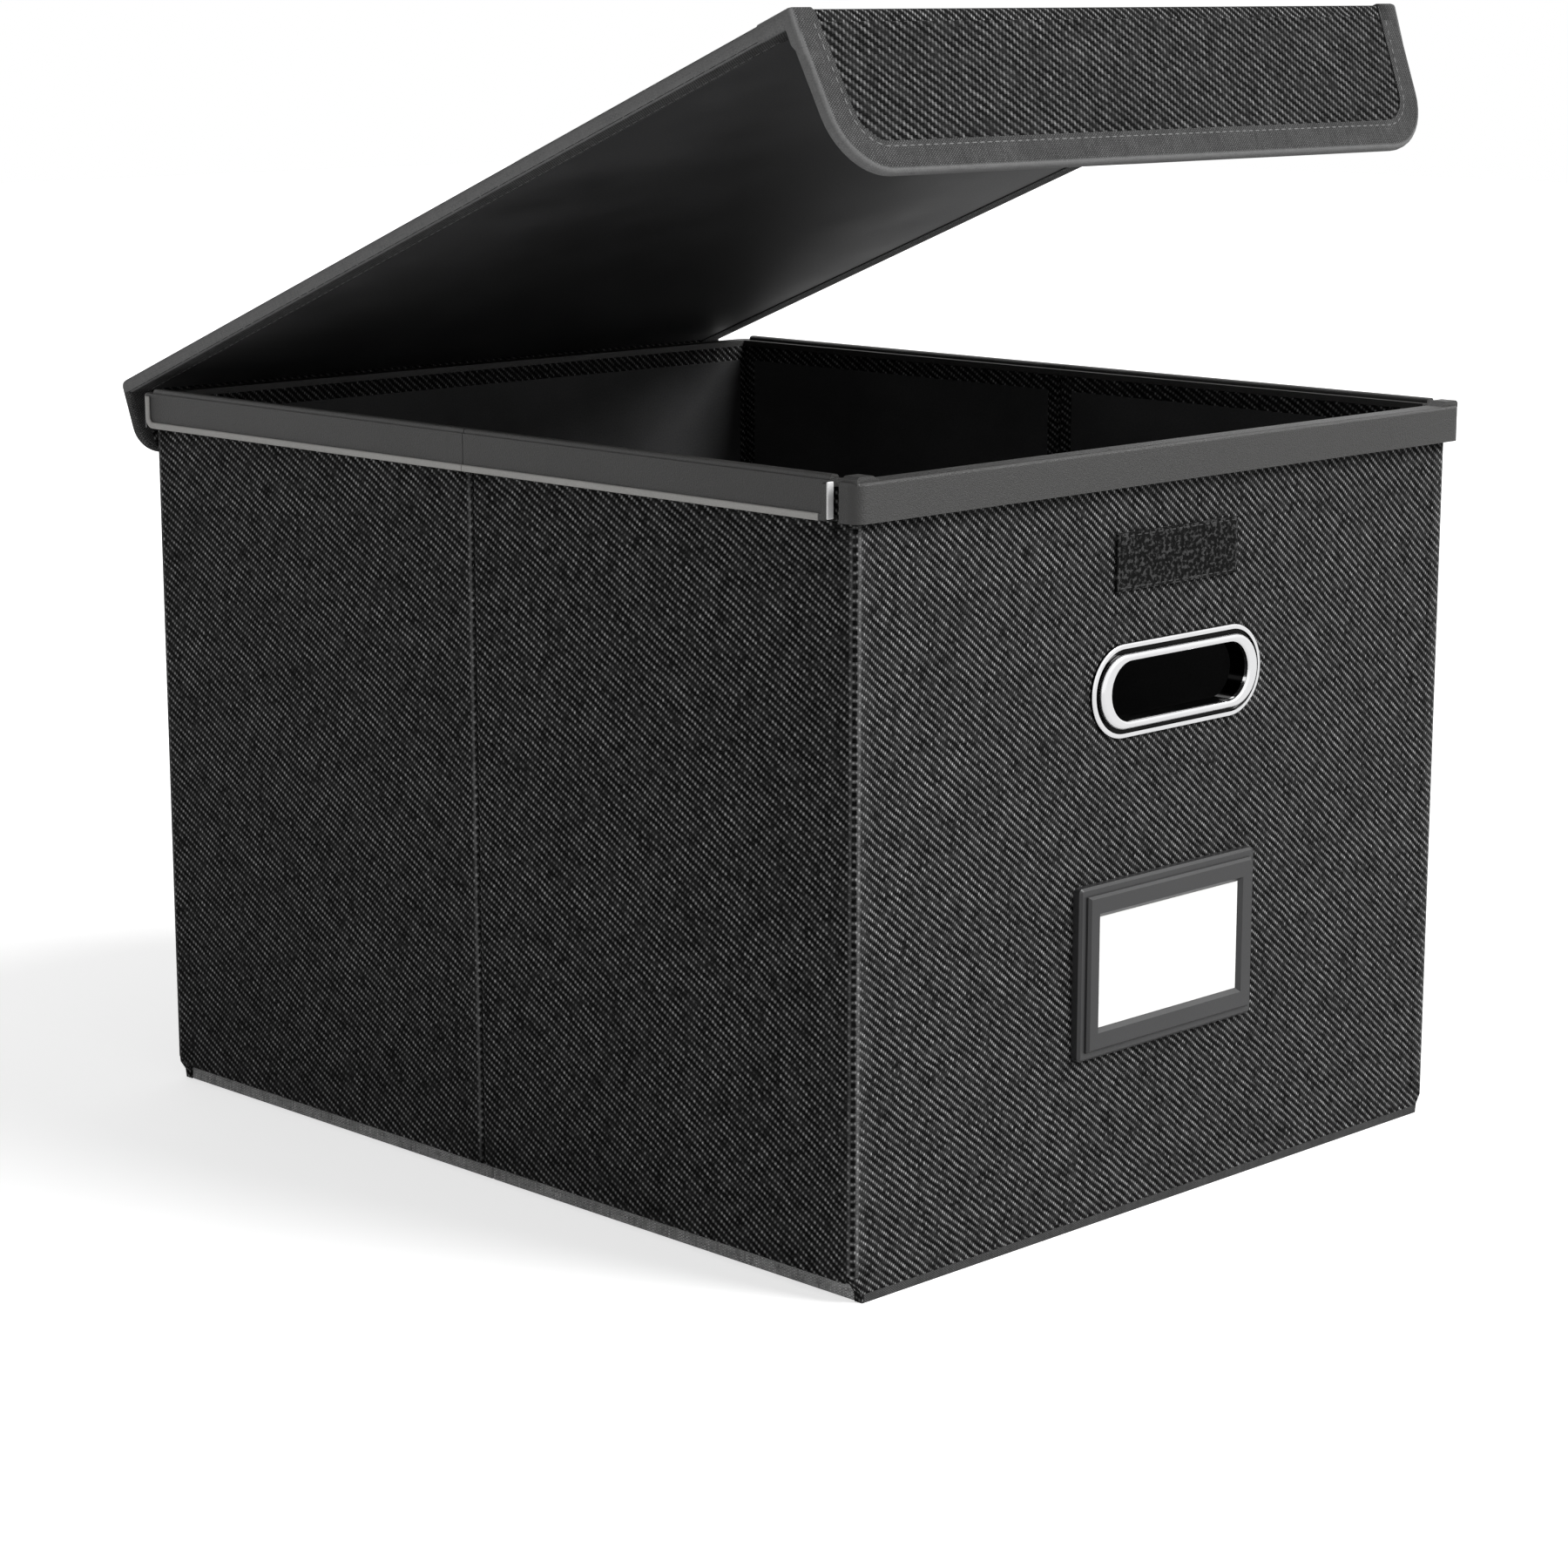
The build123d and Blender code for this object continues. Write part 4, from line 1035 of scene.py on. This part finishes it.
# Cloth hinge: a linen tape sewn to the back wall below and inside the skirt above.
# It carries the lid.
HINGE_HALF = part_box("hinge_lower_leaf")[1].x
HINGE_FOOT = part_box("hinge_lower_leaf")[0].z
HINGE_THICK, HINGE_BEND = 0.0006, 0.004
SKIRT_INSIDE = LID_BACK - SKIRT_THICK
BLACK_THREAD = (0.03, 0.03, 0.03)
lower = [(BACK_Y + 0.0001, HINGE_FOOT), (BACK_Y + 0.0007, HINGE_FOOT + 0.002),
         (BACK_Y + 0.0008, 0.228), (BACK_Y + 0.0009, 0.2345)]
upper = [(HINGE_AT.y + 0.0004, HINGE_AT.z + 0.004), (SKIRT_INSIDE - 0.0022, 0.2472),
         (SKIRT_INSIDE - 0.0008, 0.2500), (SKIRT_INSIDE - 0.0008, 0.2545)]
upper = [tuple((OPEN_LID @ Vector((0, y, z)))[1:]) for y, z in upper]
middle = [(BACK_Y + 0.0011, 0.2370), (BACK_Y + 0.0016, 0.2390), (BACK_Y + 0.0026, 0.2412)]
bm = across_strip(lower + middle + upper, HINGE_HALF)
made = cloth_strip("hinge_cloth", bm, linen, "hinge_cloth", (0, 1, 0), HINGE_THICK,
                   replaces=["hinge_lower_leaf", "hinge_upper_leaf"])
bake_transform(made)
black_thread = speckled("black_thread", BLACK_THREAD, roughness=0.6, grain=2500.0, detail=1.0,
                        spread=0.6, least=0.7)
stitches = bmesh.new()
for height in (HINGE_FOOT + 0.0040, 0.2310):
    row = [(side * (HINGE_HALF - 0.003), BACK_Y + 0.0008, height) for side in (-1, 1)]
    stitch_row(stitches, row, (0, 1, 0))
piece("hinge_stitches", stitches, black_thread, "hinge_cloth", "back")


# Hand hole grommets: pressed and plated steel rings, crimped over a washer inside. The plating is
# bright, with faint hairlines from polishing. It is drawn dark as painted shade in the groove
# between lip and ring, and on all of it that lies within 0.7 mm of the wall's face or further in,
# the washers too.
PLATING = (0.93, 0.93, 0.94, 1)
GROOVE_SHADE = (0.008, 0.008, 0.008, 1)
SHADE_UNTIL, PLATING_FROM = 0.0007, 0.0009


def chrome():
    material, tree, shader = new_material("bright_plating", 0.12)
    shader.inputs["Metallic"].default_value = 1.0
    place = put(tree, "ShaderNodeTexCoord", {}, out="Object")
    depth = put(tree, "ShaderNodeSeparateXYZ", {0: place}, out=1)
    out = calc(tree, "ABSOLUTE", calc(tree, "SUBTRACT", depth, CREASE_Y))
    face = BACK_Y - CREASE_Y
    # Painted shade: the plating is dark up to 0.7 mm out from the wall's face and bright beyond 0.9
    # mm.
    unshaded = remap(tree, out, face + SHADE_UNTIL, face + PLATING_FROM)
    streak = put(tree, "ShaderNodeMapping", {"Vector": place, "Scale": (200, 200, 2400)})
    hair = noise(tree, streak, 1.0, 2.0)
    tree.links.new(calc(tree, "MULTIPLY_ADD", hair, 0.14, 0.07), shader.inputs["Roughness"])
    dress_shader(tree, shader, blended(tree, unshaded, GROOVE_SHADE, PLATING), hair, 0.08, 0.00005)
    return material


dress(["front_grommet", "front_grommet_washer", "back_grommet", "back_grommet_washer"], chrome())


# Label holder: a moulded frame on the front wall, with a bare card behind its window.
# The card is uncoated white stock, held up to the window by a pad behind it.
WINDOW_WIDE, WINDOW_HIGH, WINDOW_DEEP = 0.0745, 0.0390, 0.0014
CARD_PLAY = 0.00005
FRAME_GREY = (0.036, 0.036, 0.037)
CARD_WHITE = (0.95, 0.95, 0.94)
dress(["label_frame"], moulded("label_plastic", FRAME_GREY, 0.38))
card_stock = speckled("white_card", CARD_WHITE, roughness=0.85, grain=900.0, detail=4.0,
                      spread=0.06, least=0.95, strength=0.1, depth=0.0001)
low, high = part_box("label_frame")
middle = (low + high) / 2
half_wide, half_high = WINDOW_WIDE / 2 - CARD_PLAY, WINDOW_HIGH / 2 - CARD_PLAY
bm = solid((middle.x - half_wide, low.y + WINDOW_DEEP, middle.z - half_high),
           (middle.x + half_wide, high.y - 0.0003, middle.z + half_high))
round_edges(bm, 0.0001, 1)
piece("blank_card", bm, card_stock, "card", "front", replaces=["label_card"])


# Hook and loop patches: a woven base with a dense black pile, looped on the front wall and
# hooked inside the flap. They hold the flap shut.
PILE_BLACK = (0.0065, 0.0065, 0.0065)
PILE_DEEP, PILE_BORDER = 0.0005, 0.0015
SEWN_BORDER = 0.001
HOOK_MIDDLE = Vector((0.001, 0, 0.2358))
HOOK_HALF = Vector((0.032, 0, 0.00975))
HOOK_THICK = 0.0017


def patch(low, high, count=110):
    """A pad from low to high with its pile towards -Y, inside a flat border."""
    bm = bmesh.new()
    wide, tall = high.x - low.x, high.z - low.z
    bmesh.ops.create_grid(bm, x_segments=count, y_segments=round(count * tall / wide), size=0.5)
    bmesh.ops.rotate(bm, cent=(0, 0, 0), matrix=Matrix.Rotation(math.radians(90), 3, "X"),
                     verts=bm.verts)
    bmesh.ops.scale(bm, vec=(wide, 1, tall), verts=bm.verts)
    bmesh.ops.translate(bm, vec=((low.x + high.x) / 2, 0, (low.z + high.z) / 2), verts=bm.verts)
    thicken(bm, high.y - low.y)
    for v in bm.verts:
        inside = min(v.co.x - low.x, high.x - v.co.x, v.co.z - low.z, high.z - v.co.z)
        if v.co.y < 1e-6 and inside > PILE_BORDER:
            v.co.y -= random.uniform(0.0, PILE_DEEP)
    bmesh.ops.translate(bm, vec=(0, low.y, 0), verts=bm.verts)
    return bm


def pile_material():
    material, tree, shader = new_material("black_pile", 0.9)
    shader.inputs["Specular IOR Level"].default_value = 0.15
    place = put(tree, "ShaderNodeTexCoord", {}, out="Object")
    tuft = noise(tree, place, 620.0, 2.0)
    tone = remap(tree, tuft, 0.5, 0.62, 0.15, 8.0)
    dress_shader(tree, shader, scaled(tree, PILE_BLACK, tone), tuft, 0.8, 0.0006)
    return material


def patch_stitches(low, high, y, facing):
    """A row of black lockstitch round a patch, in its flat woven border."""
    bm = bmesh.new()
    x0, x1 = low.x + SEWN_BORDER, high.x - SEWN_BORDER
    z0, z1 = low.z + SEWN_BORDER, high.z - SEWN_BORDER
    corners = [(x0, y, z0), (x1, y, z0), (x1, y, z1), (x0, y, z1), (x0, y, z0)]
    stitch_row(bm, corners, (0, facing, 0))
    return bm


pile = pile_material()
low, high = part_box("loop_patch")
bm = patch(low, high)
piece("loop_pile", bm, pile, "hook_and_loop", "front", replaces=["loop_patch"])
stitches = patch_stitches(low, high, low.y, -1)
piece("loop_stitches", stitches, black_thread, "hook_and_loop", "front")

low = HOOK_MIDDLE - HOOK_HALF
high = HOOK_MIDDLE + HOOK_HALF + Vector((0, HOOK_THICK, 0))
hook_face = FOLD_AT.y + FLAP_THICK + HOOK_THICK - HAIR
bm = patch(low, high)
bmesh.ops.rotate(bm, cent=HOOK_MIDDLE, matrix=Matrix.Rotation(math.pi, 3, "Z"), verts=bm.verts)
bmesh.ops.translate(bm, vec=(0, hook_face, 0), verts=bm.verts)
piece("hook_pile", bm, pile, "hook_and_loop", "flap", OPEN_FLAP, ["hook_patch"])
stitches = patch_stitches(low, high, hook_face, 1)
piece("hook_stitches", stitches, black_thread, "hook_and_loop", "flap", OPEN_FLAP)
